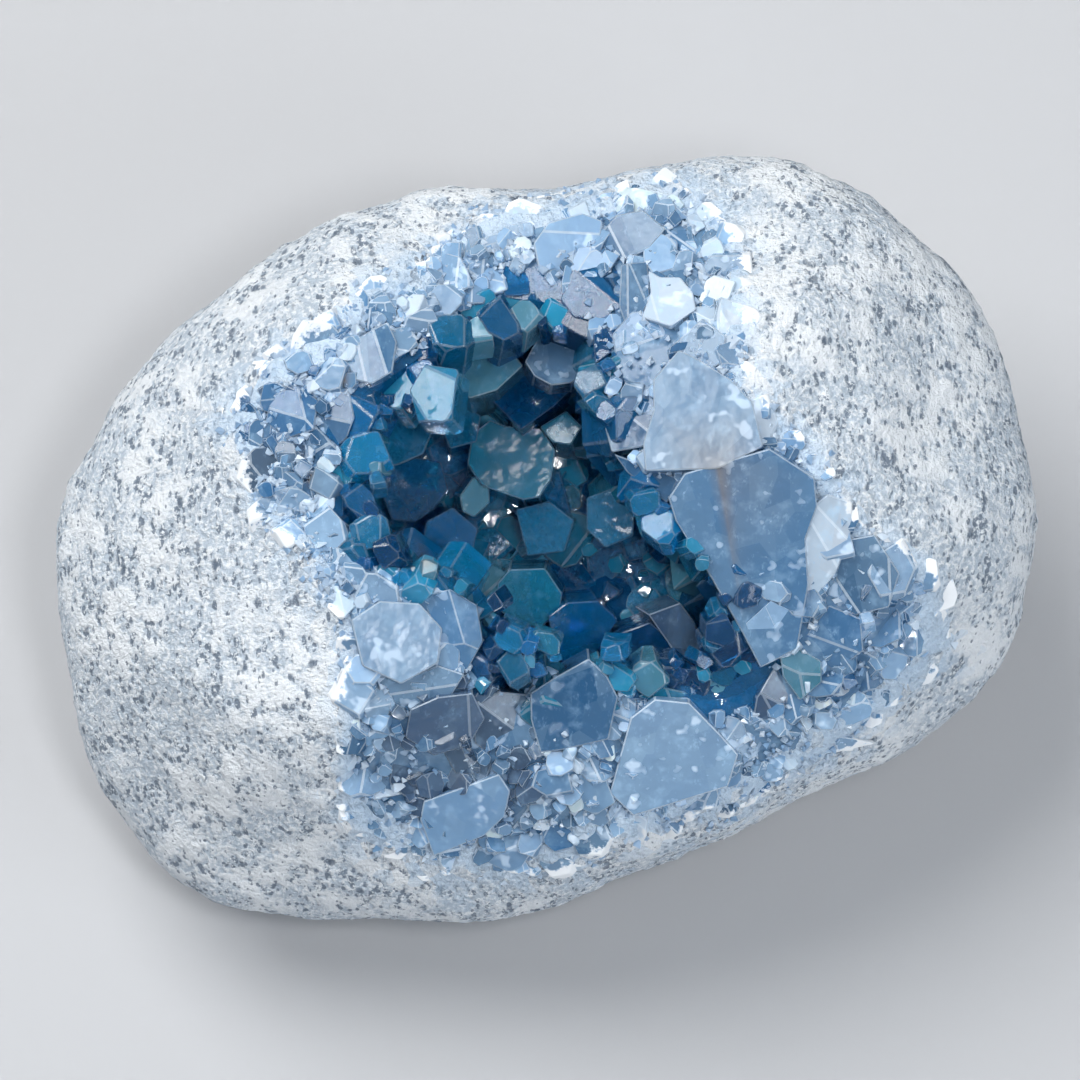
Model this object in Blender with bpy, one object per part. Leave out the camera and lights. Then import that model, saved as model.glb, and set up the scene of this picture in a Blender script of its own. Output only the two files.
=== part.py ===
"""Celestite geode: a tumbled nodule of white stone, open at the top, with a hollow lined by blue crystals.

Lengths are in millimetres until a mesh goes into the scene. The opening has a frame of its own, which leans
towards the front: u runs to the right, v up the slope of the opening and w straight out of it. The stone's
outline, the rim of the hollow and the crystals are all given in that frame, from the stone's middle.
"""

import math
import random

import bmesh
import bpy
from mathutils import Matrix, Vector, noise
from mathutils.bvhtree import BVHTree

MM = 0.001
MOUTH_TILT_DEG = 20.0

# The stone. Outline radii run every 15 degrees from the right, anticlockwise, across the opening's frame.
OUTLINE_MM = (
    (74, 74.5, 76, 72, 67, 58.5, 53.5, 56, 58, 59.5, 64, 69)
    + (74, 74, 77.5, 74.5, 65, 58.5, 54, 51, 51, 54, 62, 70)
)
CROWN_MM = 36.0
KEEL_MM = 45.0
FULLNESS = 2.25
BASE_BELOW_MIDDLE_MM = 42.0
# Faces that tumbling wore flat: direction round the outline, rise above it, and distance from the middle.
WORN_FACES = (
    (165, 48, 52.5),
    (215, 42, 57.5),
    (262, 45, 44.5),
    (25, 44, 56.5),
    (320, 40, 52.5),
    (95, 50, 41.5),
    (120, -35, 55.0),
    (200, -42, 62.0),
    (300, -38, 52.0),
    (20, -40, 62.0),
)
WEAR_SHARPNESS = 26
# Low lumps: height and how many across, for the broad ones and the finer ones.
LUMPS = ((1.3, 2.6), (0.65, 6.0))
# Columns and rows of the stone's mesh, and of the coarser one under the crystals.
STONE_GRID = (52, 26)
BROKEN_GRID = (32, 16)

# The mouth of the hollow and the edge of the white rind, as radii every 15 degrees round the mouth's middle.
MOUTH_MIDDLE_MM = (-1.9, 5.4)
MOUTH_MM = (23, 19, 17, 20, 23, 31, 36, 33, 30, 31, 32, 30, 30, 27, 20, 17, 18, 25, 27, 27, 31, 43, 42, 32)
RIND_EDGE_MM = (
    (47, 41, 36, 43, 52, 49, 44.5, 42, 39.5, 39.5, 42, 44)
    + (37, 32, 30, 38, 51, 54, 52, 50, 51, 54, 59, 62)
)
RIND_JAG_MM = 1.3
HOLLOW_FLOOR_MM = -10.0
# The hollow's profile: share of the way down, and its width as a share of the mouth's. The bowl in the white
# stone follows it from the fourth pair on.
HOLLOW_PROFILE = (
    ((0.0, 1.0), (0.12, 1.04), (0.28, 1.13))
    + ((0.48, 1.17), (0.68, 1.08), (0.84, 0.86), (0.95, 0.5))
)
BOWL_STARTS_AT = 3
LEAST_WALL_MM = 15.0
ABOVE_STONE_MM = 48.0
LAYER_MM = 6.5
GAP_MM = 0.6
WELD_MM = 0.002
FLAT_DEG = 0.1
# How far the broken crystals lie below the stone's surface: at the rind's edge, and at the mouth every 45
# degrees. The bend says how late they drop.
EDGE_DEPTH_MM = 0.9
MOUTH_DEPTH_MM = (3.0, 3.5, 6.0, 5.0, 5.0, 6.0, 9.0, 7.0)
DEPTH_BEND = 1.5
SEGMENTS = 36
OUTLINE_STEPS = 120
# The dish round the bowl: share of the way in from the rind's edge, and depth under the stone's surface.
DISH = ((0.0, 0.0), (0.06, 3.6), (0.5, 8.0), (1.0, 12.0))
LEAST_DISH_MM = 1.0
LEAST_NECK_MM = 4.0

# Named crystals of the rim, the ones that stand out: middle (u, v), rise of the flat top above the broken
# surface, width, breadth, lean of the top (towards this direction, by this angle) and roll of the width.
RIM_LARGE = (
    (19.5, -31.0, 4.5, 17.5, 15.0, 110, 7, -14),
    (4.5, -23.5, 4.0, 11.5, 12.5, 80, 12, 15),
    (-25.0, 29.0, 3.0, 8.0, 10.5, 300, 22, 25),
    (7.2, 38.0, 3.0, 9.0, 12.0, 235, 24, 20),
    (14.8, 30.5, 2.6, 14.0, 15.5, 215, 14, -12),
    (14.5, 14.5, 1.6, 8.0, 15.0, 190, 30, 10),
    (25.5, 18.0, 2.6, 18.0, 13.5, 160, 12, -18),
    (34.8, -1.7, 2.4, 17.0, 27.5, 211, 9, 31.5),
    (48.0, -4.0, 2.0, 12.5, 13.5, 190, 14, 15),
    (-18.0, -15.0, 4.0, 17.5, 16.0, 300, 14, 20),
    (-11.5, -28.5, 1.6, 19.0, 15.0, 60, 12, -22),
    (-8.0, -38.5, 2.6, 16.5, 10.5, 90, 10, 12),
    (5.0, -37.5, 2.2, 10.5, 12.0, 150, 18, -30),
    (-31.8, 17.6, 2.4, 8.0, 9.5, 330, 20, 30),
    (-39.0, 20.4, 2.0, 9.5, 7.0, 320, 16, -10),
    (-15.5, 38.0, 1.8, 12.0, 8.0, 280, 18, 14),
    (36.5, -28.5, 3.4, 17.0, 6.5, 100, 14, -14),
    (48.5, -19.5, 2.2, 9.5, 8.0, 130, 20, 20),
    (42.0, -17.0, 1.8, 8.0, 8.5, 160, 18, 60),
    (55.0, -14.5, 1.6, 8.5, 9.5, 120, 16, 0),
    (15.0, 47.5, 1.6, 11.0, 9.0, 230, 14, 24),
    (23.0, 43.0, 1.8, 11.0, 11.0, 200, 16, 50),
    (26.5, 32.5, 1.6, 9.5, 12.0, 190, 14, 10),
    (41.0, 12.5, 1.6, 12.0, 9.5, 170, 14, 30),
    (-24.0, -27.0, 2.4, 11.0, 12.0, 330, 16, 15),
    (28.0, -38.0, 2.2, 10.0, 8.0, 60, 16, 30),
)
# Named crystals of the hollow, the same way but with the top's height w in place of the rise.
HOLLOW_LARGE = (
    (-4.6, 12.6, 4.0, 12.5, 11.5, 250, 12, 8),
    (-19.0, 8.8, 5.0, 10.5, 9.5, 300, 18, 40),
    (-22.0, 17.5, 3.0, 9.5, 8.5, 260, 22, 70),
    (-2.0, -8.0, 7.0, 9.8, 8.0, 60, 16, -8),
    (6.2, -13.5, 9.0, 9.0, 8.5, 120, 20, 35),
    (2.0, 28.5, 16.0, 9.5, 9.0, 270, 30, 15),
    (-9.4, 26.5, 13.0, 10.5, 8.0, 250, 32, -20),
    (17.0, -15.6, 12.0, 10.5, 9.0, 140, 22, 12),
    (24.5, -16.5, 13.0, 8.0, 9.5, 160, 26, 50),
    (14.0, -2.5, 3.0, 12.0, 12.0, 150, 22, -25),
    (-13.0, 33.5, 20.0, 10.0, 7.5, 270, 30, 5),
    (29.0, -24.5, 15.0, 9.0, 9.0, 130, 22, 40),
    (-11.0, 1.5, 0.5, 10.0, 9.0, 200, 14, 30),
    (3.5, 2.5, -1.0, 9.5, 10.0, 40, 12, -35),
    (7.0, 13.0, 0.5, 10.0, 9.0, 180, 18, 20),
    (-13.0, 20.5, 0.0, 9.0, 9.5, 280, 16, 65),
    (0.5, 21.0, 4.0, 8.5, 9.0, 240, 22, -15),
    (-26.0, 11.0, 9.0, 8.5, 8.0, 330, 26, 10),
)
RIM_LARGE_ROOT_MM = 7.0
# How far growth axes on the rim turn from straight out of the opening to straight out of the stone.
RIM_FACES_OUT = 0.45

# Smaller crystals fill the broken rim: how far apart, how wide, and how far their tops rise above it. They
# keep clear of a named crystal's middle by this share of its narrower side and this share of their spacing.
RIM_SPACING_MM = 8.7
RIM_TRIES = 900
RIM_WIDTH_MM = (8.0, 12.0)
RIM_RISE_MM = (0.5, 2.2)
RIM_ROOT_MM = 6.0
CLEAR_SHARES = (0.42, 0.3)

# The crystals in the hollow: rows from the mouth to the floor, as share of the way down and number in the
# row, how far each strays along its row (in steps) and across it (in shares), and how far the axes turn up.
LINING_ROWS = ((0.12, 13), (0.32, 13), (0.52, 12), (0.7, 10), (0.86, 7))
LINING_STRAY = (0.3, 0.06)
LINING_WIDTH_MM = (7.5, 11.0)
LINING_REACH_MM = (0.5, 3.5)
LINING_ROOT_MM = 4.5
LINING_FACES_OUT = 0.7
# A crystal's shape: breadth as a share of width, where a corner or a shoulder is cut as a share of the way
# out, how far each cut strays from its direction, and the slope of the shoulders.
BREADTH_SHARE = (0.7, 1.0)
CORNER_SHARE = (0.72, 0.86)
SHOULDER_SHARE = (0.55, 0.85)
STRAY_DEG = 15.0
LEAN_MOST_DEG = 24.0
SHOULDER_DEG = (34.0, 50.0)
CORNER_TURNS = (45, 225, 135, 315)
SHOULDER_TURNS = (0, 180, 90, 270)
LARGE_CUTS = 4
SMALL_CUTS = 2
SEED = 11

UP = Vector((0, 0, 1))
STONE_COLOUR = (0.80, 0.83, 0.87)
STONE_ROUGHNESS = 0.75
CRYSTAL_COLOUR = (0.33, 0.53, 0.68)
CRYSTAL_ROUGHNESS = 0.12


def unit(degrees):
    return Vector((math.cos(math.radians(degrees)), math.sin(math.radians(degrees))))


def around(values, degrees):
    """The value at this angle, on a smooth closed curve through values at equal steps round a circle."""
    place = (degrees % 360) / 360 * len(values)
    k, f = int(place), place - int(place)
    a, b, c, d = (values[(k + i) % len(values)] for i in (-1, 0, 1, 2))
    return b + 0.5 * f * (c - a + f * (2 * a - 5 * b + 4 * c - d + f * (3 * (b - c) + d - a)))


def along(profile, share):
    """The second number of profile's pairs where the first is share, on straight lines between them."""
    for (x0, y0), (x1, y1) in zip(profile, profile[1:]):
        if share <= x1:
            return y0 + (y1 - y0) * (share - x0) / (x1 - x0)
    return profile[-1][1]


def mouth_to_world():
    """The turn and shift from the opening's frame to the world's, both in millimetres."""
    tilt = math.radians(MOUTH_TILT_DEG)
    return Matrix.Translation((0, 0, BASE_BELOW_MIDDLE_MM)) @ Matrix.Rotation(tilt, 4, "X")


def stone_point(direction):
    """The stone's surface in this direction from its middle, in the opening's frame."""
    d = direction.normalized()
    outline = around(OUTLINE_MM, math.degrees(math.atan2(d.y, d.x)))
    height = CROWN_MM if d.z > 0 else KEEL_MM
    curve = (d.xy.length / outline) ** FULLNESS + (abs(d.z) / height) ** FULLNESS
    inverse = curve ** (WEAR_SHARPNESS / FULLNESS)
    for turn, rise, distance in WORN_FACES:
        flat = unit(turn) * math.cos(math.radians(rise))
        facing = d.dot(Vector((flat.x, flat.y, math.sin(math.radians(rise)))))
        inverse += (max(facing, 0.0) / distance) ** WEAR_SHARPNESS
    lumps = sum(height * noise.noise(d * across) for height, across in LUMPS)
    return d * (inverse ** (-1 / WEAR_SHARPNESS) + lumps)


def broken_depth(u, v):
    """How far the broken crystals lie below the stone's surface at this point of the opening's frame."""
    place = Vector((u, v)) - Vector(MOUTH_MIDDLE_MM)
    turn = math.degrees(math.atan2(place.y, place.x))
    mouth = around(MOUTH_MM, turn)
    share = (place.length - mouth) / (around(RIND_EDGE_MM, turn) - mouth)
    inner = around(MOUTH_DEPTH_MM, turn)
    return EDGE_DEPTH_MM + (inner - EDGE_DEPTH_MM) * (1 - min(max(share, 0.0), 1.0)) ** DEPTH_BEND


def stone_mesh(broken=False):
    """The whole nodule with its flat resting face, in world millimetres; broken lowers it to the rim."""
    columns, rows = BROKEN_GRID if broken else STONE_GRID
    bm = bmesh.new()
    bmesh.ops.create_uvsphere(bm, u_segments=columns, v_segments=rows, radius=1.0)
    for vertex in bm.verts:
        vertex.co = stone_point(vertex.co)
    if broken:
        bm.normal_update()
        for vertex in bm.verts:
            vertex.co -= vertex.normal * broken_depth(vertex.co.x, vertex.co.y)
    bm.transform(mouth_to_world())
    cut(bm, Vector((0, 0, EDGE_DEPTH_MM if broken else 0)), Vector((0, 0, -1)))
    return bm


def cut(bm, point, normal):
    """Cuts off what lies on normal's side of the plane through point, and closes the cut."""
    whole = bm.verts[:] + bm.edges[:] + bm.faces[:]
    bmesh.ops.bisect_plane(bm, geom=whole, dist=1e-5, plane_co=point, plane_no=normal, clear_outer=True)
    open_edges = [edge for edge in bm.edges if edge.is_boundary]
    if open_edges:
        bmesh.ops.holes_fill(bm, edges=open_edges, sides=0)


class Surface:
    """The whole stone's surface over a point (u, v) of the opening's frame: its height w, and its normal."""

    def __init__(self, bm):
        copy = bm.copy()
        copy.transform(mouth_to_world().inverted())
        self.tree = BVHTree.FromBMesh(copy)
        copy.free()

    def height(self, u, v):
        hit = self.tree.ray_cast(Vector((u, v, ABOVE_STONE_MM)), -UP)[0]
        return hit.z if hit else 0.0

    def normal(self, u, v, step=2.0):
        right = Vector((2 * step, 0, self.height(u + step, v) - self.height(u - step, v)))
        up = Vector((0, 2 * step, self.height(u, v + step) - self.height(u, v - step)))
        return right.cross(up).normalized()


def mouth_point(radius, turn):
    return Vector(MOUTH_MIDDLE_MM) + unit(turn) * radius


def hollow_point(surface, turn, share):
    """The hollow's wall in this direction, at this share of the way down from the mouth to the floor."""
    edge = mouth_point(around(MOUTH_MM, turn), turn)
    top = surface.height(*edge)
    place = mouth_point(around(MOUTH_MM, turn) * along(HOLLOW_PROFILE, share), turn)
    w = top + (HOLLOW_FLOOR_MM - top) * share
    if share > 0:
        place = within_stone(place, w)
    return Vector((place.x, place.y, w))


def within_stone(place, w):
    """The place, drawn in to leave a wall of stone and crystal outside it at this height."""
    outline = around(OUTLINE_MM, math.degrees(math.atan2(place.y, place.x)))
    height = CROWN_MM if w > 0 else KEEL_MM
    narrowing = max(1 - (abs(w) / height) ** FULLNESS, 0.0) ** (1 / FULLNESS)
    most = max(outline * narrowing - LEAST_WALL_MM, 0.0)
    return place * min(1.0, most / place.length)


def hollow_rings(surface):
    """The hollow from above the stone down to its floor, as rings of points."""
    turns = [360 * k / SEGMENTS for k in range(SEGMENTS)]
    rings = [[hollow_point(surface, turn, 0.0) for turn in turns]]
    rings.insert(0, [Vector((point.x, point.y, ABOVE_STONE_MM)) for point in rings[0]])
    for share, _ in HOLLOW_PROFILE[1:]:
        rings.append([hollow_point(surface, turn, share) for turn in turns])
    return rings


def widened(ring, distance, turns):
    """The ring's outline moved outwards by this distance, as points at these turns round the mouth."""
    polar = []
    for point in ring:
        place = point.xy - Vector(MOUTH_MIDDLE_MM)
        polar.append((place.length, math.degrees(math.atan2(place.y, place.x))))
    places = []
    for turn in turns:
        furthest = 0.0
        for radius, at in polar:
            aside = radius * math.sin(math.radians(at - turn))
            ahead = radius * math.cos(math.radians(at - turn))
            if abs(aside) < distance and ahead > 0:
                furthest = max(furthest, ahead + math.sqrt(distance**2 - aside**2))
        places.append(mouth_point(furthest, turn))
    return places


def pocket_rings(surface, rng):
    """The hole in the white stone that holds the crystals: a shallow dish that drops into a deep bowl."""
    turns = [360 * k / SEGMENTS for k in range(SEGMENTS)]
    fine = [360 * k / OUTLINE_STEPS for k in range(OUTLINE_STEPS)]
    bowl = []
    for share, _ in HOLLOW_PROFILE[BOWL_STARTS_AT:]:
        places = widened([hollow_point(surface, turn, share) for turn in fine], LAYER_MM, turns)
        levels = [hollow_point(surface, turn, share).z - LAYER_MM * share for turn in turns]
        bowl.append([Vector((*place, level)) for place, level in zip(places, levels)])
    outer = [around(RIND_EDGE_MM, turn) + rng.uniform(-RIND_JAG_MM, RIND_JAG_MM) for turn in turns]
    mouth = widened([hollow_point(surface, turn, 0.0) for turn in fine], LAYER_MM, turns)
    dish = []
    for inwards, drop in DISH:
        ring = []
        for turn, edge, neck, below in zip(turns, outer, mouth, bowl[0]):
            inner = min((neck - Vector(MOUTH_MIDDLE_MM)).length, edge - LEAST_DISH_MM)
            place = mouth_point(edge + (inner - edge) * inwards, turn)
            w = surface.height(*place)
            if drop:
                w = max(w - drop, below.z + LEAST_NECK_MM)
            ring.append(Vector((*place, w)))
        dish.append(ring)
    top = [Vector((point.x, point.y, ABOVE_STONE_MM)) for point in dish[0]]
    return [top] + dish + bowl


def loft(rings):
    """A closed bmesh through rings of equal length, each end closed by a fan to its middle."""
    bm = bmesh.new()
    loops = [[bm.verts.new(point) for point in ring] for ring in rings]
    count = len(rings[0])
    for upper, lower in zip(loops, loops[1:]):
        for k in range(count):
            after = (k + 1) % count
            bm.faces.new((upper[k], lower[k], lower[after]))
            bm.faces.new((upper[k], lower[after], upper[after]))
    for loop in (loops[0], loops[-1]):
        middle = bm.verts.new(sum((vertex.co for vertex in loop), Vector()) / count)
        for k in range(count):
            bm.faces.new((loop[k], loop[(k + 1) % count], middle))
    bmesh.ops.recalc_face_normals(bm, faces=bm.faces[:])
    return bm


def drawn_in(bm, distance):
    """A copy with every point moved inwards along its normal."""
    inner = bm.copy()
    inner.normal_update()
    for vertex in inner.verts:
        vertex.co -= vertex.normal * distance
    return inner


def crystal(width, breadth, length, rng, cuts):
    """A blocky crystal hanging from its flat top, with this many corners cut off and this many shoulders."""
    bm = bmesh.new()
    bmesh.ops.create_cube(bm, size=1.0)
    bmesh.ops.scale(bm, vec=(width, breadth, length), verts=bm.verts[:])
    bmesh.ops.translate(bm, vec=(0, 0, -length / 2), verts=bm.verts[:])
    for turn in CORNER_TURNS[:cuts]:
        side = unit(turn + rng.uniform(-STRAY_DEG, STRAY_DEG)).to_3d()
        reach = (abs(side.x) * width + abs(side.y) * breadth) / 2
        cut(bm, side * reach * rng.uniform(*CORNER_SHARE), side)
    for turn in SHOULDER_TURNS[:cuts]:
        side = unit(turn + rng.uniform(-STRAY_DEG, STRAY_DEG)).to_3d()
        reach = (abs(side.x) * width + abs(side.y) * breadth) / 2
        slope = math.radians(rng.uniform(*SHOULDER_DEG))
        cut(bm, side * reach * rng.uniform(*SHOULDER_SHARE), side * math.sin(slope) + UP * math.cos(slope))
    return bm


def placed(bm, name, top, axis, roll, material):
    """Turns a crystal's growth axis to axis, puts its top there, and adds it as a helper object."""
    lean = UP.rotation_difference(axis).to_matrix().to_4x4()
    turn = Matrix.Rotation(math.radians(roll), 4, "Z")
    bm.transform(mouth_to_world() @ Matrix.Translation(top) @ lean @ turn)
    return add_object(bm, name, material, helper=True)


def leaning(axis, towards, angle):
    """The axis, leaned by this angle towards this direction of the opening's frame."""
    lean = unit(towards) * math.tan(math.radians(angle))
    return (axis + Vector((lean.x, lean.y, 0))).normalized()


def large_crystals(surface, material, rng):
    """The named crystals, each rooted in the layer behind it or in the floor of the hollow."""
    made = []
    for u, v, rise, width, breadth, towards, lean, roll in RIM_LARGE:
        top = Vector((u, v, surface.height(u, v) - broken_depth(u, v) + rise))
        upright = (surface.normal(u, v) * RIM_FACES_OUT + UP).normalized()
        body = crystal(width, breadth, min(width, breadth) / 2 + RIM_LARGE_ROOT_MM, rng, LARGE_CUTS)
        axis = leaning(upright, towards, lean)
        made.append(placed(body, f"large_crystal_{len(made):02d}", top, axis, roll, material))
    for u, v, w, width, breadth, towards, lean, roll in HOLLOW_LARGE:
        top = Vector((u, v, w))
        body = crystal(width, breadth, w - HOLLOW_FLOOR_MM + LAYER_MM / 2, rng, LARGE_CUTS)
        axis = leaning(UP, towards, lean)
        made.append(placed(body, f"large_crystal_{len(made):02d}", top, axis, roll, material))
    return made


def rim_crystals(surface, material, rng):
    """Crystals that fill the broken rim between the mouth and the rind, around the named ones."""
    of_side, of_spacing = CLEAR_SHARES
    taken = []
    for u, v, _, width, breadth, *_ in RIM_LARGE:
        taken.append((Vector((u, v)), of_side * min(width, breadth) + of_spacing * RIM_SPACING_MM))
    made = []
    for _ in range(RIM_TRIES):
        turn = rng.uniform(0, 360)
        place = mouth_point(rng.uniform(around(MOUTH_MM, turn), around(RIND_EDGE_MM, turn)), turn)
        if any((place - other).length < apart for other, apart in taken):
            continue
        taken.append((place, RIM_SPACING_MM))
        upright = (surface.normal(*place) * RIM_FACES_OUT + UP).normalized()
        axis = leaning(upright, rng.uniform(0, 360), rng.uniform(0, LEAN_MOST_DEG))
        width = rng.uniform(*RIM_WIDTH_MM)
        breadth = width * rng.uniform(*BREADTH_SHARE)
        body = crystal(width, breadth, width / 2 + RIM_ROOT_MM, rng, SMALL_CUTS)
        w = surface.height(*place) - broken_depth(*place) + rng.uniform(*RIM_RISE_MM)
        name = f"rim_crystal_{len(made):02d}"
        made.append(placed(body, name, Vector((*place, w)), axis, rng.uniform(0, 180), material))
    return made


def lining_crystals(surface, material, rng):
    """Rows of crystals from the mouth to the floor of the hollow, each growing out of the wall."""
    made = []
    along_row, across_row = LINING_STRAY
    for row, (share, count) in enumerate(LINING_ROWS):
        step = 360 / count
        for k in range(count):
            turn = step * (k + row / 2 + rng.uniform(-along_row, along_row))
            down = share + rng.uniform(-across_row, across_row)
            root = hollow_point(surface, turn, down)
            before, after = (hollow_point(surface, turn + side * step / 4, down) for side in (-1, 1))
            below = hollow_point(surface, turn, down + across_row / 2) - root
            inwards = (below.cross(after - before).normalized() + UP * LINING_FACES_OUT).normalized()
            axis = leaning(inwards, rng.uniform(0, 360), rng.uniform(0, LEAN_MOST_DEG))
            width = rng.uniform(*LINING_WIDTH_MM)
            reach = rng.uniform(*LINING_REACH_MM)
            breadth = width * rng.uniform(*BREADTH_SHARE)
            body = crystal(width, breadth, reach + LINING_ROOT_MM, rng, SMALL_CUTS)
            name = f"lining_crystal_{len(made):02d}"
            made.append(placed(body, name, root + axis * reach, axis, rng.uniform(0, 180), material))
    return made


def make_material(name, colour, roughness):
    material = bpy.data.materials.new(name)
    material.use_nodes = True
    shader = material.node_tree.nodes["Principled BSDF"]
    shader.inputs["Base Color"].default_value = (*colour, 1)
    shader.inputs["Roughness"].default_value = roughness
    shader.inputs["Metallic"].default_value = 0
    material.diffuse_color = (*colour, 1)
    return material


def add_object(bm, name, material, helper=False):
    """The bmesh as an object in metres. A helper only shapes the others: it isn't rendered."""
    mesh = bpy.data.meshes.new(name)
    bm.transform(Matrix.Scale(MM, 4))
    bmesh.ops.recalc_face_normals(bm, faces=bm.faces[:])
    bm.to_mesh(mesh)
    bm.free()
    mesh.materials.append(material)
    obj = bpy.data.objects.new(name, mesh)
    bpy.context.scene.collection.objects.link(obj)
    if helper:
        obj.hide_render = True
        obj.display_type = "WIRE"
    return obj


def boolean(obj, name, operation, other, solver="EXACT"):
    """A Boolean with one object, or with a whole collection of them."""
    modifier = obj.modifiers.new(name, "BOOLEAN")
    modifier.operation = operation
    modifier.solver = solver
    if isinstance(other, bpy.types.Collection):
        modifier.operand_type = "COLLECTION"
        modifier.collection = other
    else:
        modifier.object = other


def largest_shell(bm):
    """Keeps the closed surface with the most faces: bits that were cut loose and sealed hollows go."""
    shells, seen = [], set()
    for start in bm.faces:
        if start in seen:
            continue
        shell, waiting = [], [start]
        seen.add(start)
        while waiting:
            face = waiting.pop()
            shell.append(face)
            for near in (other for edge in face.edges for other in edge.link_faces):
                if near not in seen:
                    seen.add(near)
                    waiting.append(near)
        shells.append(shell)
    shells.sort(key=len)
    bmesh.ops.delete(bm, geom=[face for shell in shells[:-1] for face in shell], context="FACES")


def solid_object(shaped, name, material, offset):
    """One plain mesh object from what this object's modifiers make."""
    graph = bpy.context.evaluated_depsgraph_get()
    bm = bmesh.new()
    bm.from_object(shaped, graph)
    bmesh.ops.remove_doubles(bm, verts=bm.verts[:], dist=WELD_MM * MM)
    bmesh.ops.dissolve_limit(bm, angle_limit=math.radians(FLAT_DEG), verts=bm.verts[:], edges=bm.edges[:])
    bmesh.ops.triangulate(bm, faces=bm.faces[:])
    largest_shell(bm)
    bm.transform(Matrix.Translation(-offset) @ Matrix.Scale(1 / MM, 4))
    return add_object(bm, name, material)


def middle_offset(bm):
    """How far the middle of the mesh's box lies from the origin, level with the ground."""
    xs = [vertex.co.x for vertex in bm.verts]
    ys = [vertex.co.y for vertex in bm.verts]
    return Vector(((max(xs) + min(xs)) / 2, (max(ys) + min(ys)) / 2, 0))


def main():
    for obj in list(bpy.data.objects):
        bpy.data.objects.remove(obj)
    rng = random.Random(SEED)
    stone_white = make_material("stone", STONE_COLOUR, STONE_ROUGHNESS)
    crystal_blue = make_material("crystal", CRYSTAL_COLOUR, CRYSTAL_ROUGHNESS)

    whole = stone_mesh()
    surface = Surface(whole)
    offset = middle_offset(whole)
    broken = stone_mesh(broken=True)

    pocket_shape = loft(pocket_rings(surface, rng))
    crust_limit_shape = drawn_in(pocket_shape, GAP_MM)
    hollow_shape = loft(hollow_rings(surface))
    for bm in (pocket_shape, crust_limit_shape, hollow_shape):
        bm.transform(mouth_to_world())

    stone = add_object(whole, "whole_stone", stone_white, helper=True)
    pocket = add_object(pocket_shape, "pocket_cutter", stone_white, helper=True)
    boolean(stone, "pocket", "DIFFERENCE", pocket)

    crust = add_object(broken, "broken_stone", crystal_blue, helper=True)
    hollow = add_object(hollow_shape, "hollow_cutter", crystal_blue, helper=True)
    limit = add_object(crust_limit_shape, "crust_limit", crystal_blue, helper=True)
    grown = bpy.data.collections.new("crystals")
    crystals = large_crystals(surface, crystal_blue, rng)
    crystals += rim_crystals(surface, crystal_blue, rng)
    crystals += lining_crystals(surface, crystal_blue, rng)
    for obj in crystals:
        grown.objects.link(obj)
    boolean(crust, "hollow", "DIFFERENCE", hollow)
    boolean(crust, "crystals", "UNION", grown)
    # The exact solver gives back nothing here, with some spacings of the crystals.
    boolean(crust, "limit", "INTERSECT", limit, "MANIFOLD")

    solid_object(stone, "stone_shell", stone_white, offset)
    solid_object(crust, "crystal_crust", crystal_blue, offset)
    for helper in [stone, pocket, crust, hollow, limit] + crystals:
        bpy.data.objects.remove(helper)


main()
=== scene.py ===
"""Celestite geode, finished: a tumbled nodule of white speckled stone, open onto a hollow of blue crystals.

Lengths are in millimetres until a mesh goes into the scene, but for those of the settings, the relief, the
lights and the camera, which are in metres. The opening has a frame of its own, which leans towards the
front: u runs to the right, v up the slope of the opening and w straight out of it. The stone, the mouth and
the crystals are given in that frame, from the middle of the stone's outline.
"""

import math
import random
from contextlib import contextmanager

import bpy
import numpy as np
from bpy.props import FloatProperty, FloatVectorProperty, IntProperty, PointerProperty
from mathutils import Matrix, Vector, noise
from mathutils.bvhtree import BVHTree


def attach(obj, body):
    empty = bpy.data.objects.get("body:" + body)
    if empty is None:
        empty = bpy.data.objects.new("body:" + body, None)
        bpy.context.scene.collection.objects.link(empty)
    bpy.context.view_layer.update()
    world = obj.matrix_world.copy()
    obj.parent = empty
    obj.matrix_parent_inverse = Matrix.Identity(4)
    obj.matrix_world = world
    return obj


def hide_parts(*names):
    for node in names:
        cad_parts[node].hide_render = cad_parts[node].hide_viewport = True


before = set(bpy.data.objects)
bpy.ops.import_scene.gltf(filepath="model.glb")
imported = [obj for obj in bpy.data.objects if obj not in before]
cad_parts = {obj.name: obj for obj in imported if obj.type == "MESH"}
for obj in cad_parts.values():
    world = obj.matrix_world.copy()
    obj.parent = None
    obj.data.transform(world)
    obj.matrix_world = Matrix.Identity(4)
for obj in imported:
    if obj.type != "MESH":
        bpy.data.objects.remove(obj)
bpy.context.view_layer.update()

bl_info = {
    "name": "Celestite Geode",
    "version": (1, 0, 0),
    "blender": (4, 5, 0),
    "location": "3D View > Sidebar > Geode",
    "description": "Builds a tumbled celestite geode with its crystals, and the stage it stands on",
    "category": "Add Mesh",
}

MM = 0.001
UP = Vector((0, 0, 1))
SEED = 7

# The opening's frame in the row frame: its lean, and the middle of the stone's outline.
MOUTH_TILT_DEG = 20.0
STONE_MIDDLE_MM = (-0.3, -2.1, 42.0)

# The stone. Outline radii run every 15 degrees from the right, anticlockwise, across the opening's frame.
OUTLINE_MM = (
    (74, 74.5, 76, 72, 67, 58.5, 53.5, 56, 58, 59.5, 64, 69)
    + (74, 74, 77.5, 74.5, 65, 58.5, 54, 51, 51, 54, 62, 70)
)
CROWN_MM = 36.0
KEEL_MM = 45.0
FULLNESS = 2.25
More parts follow.
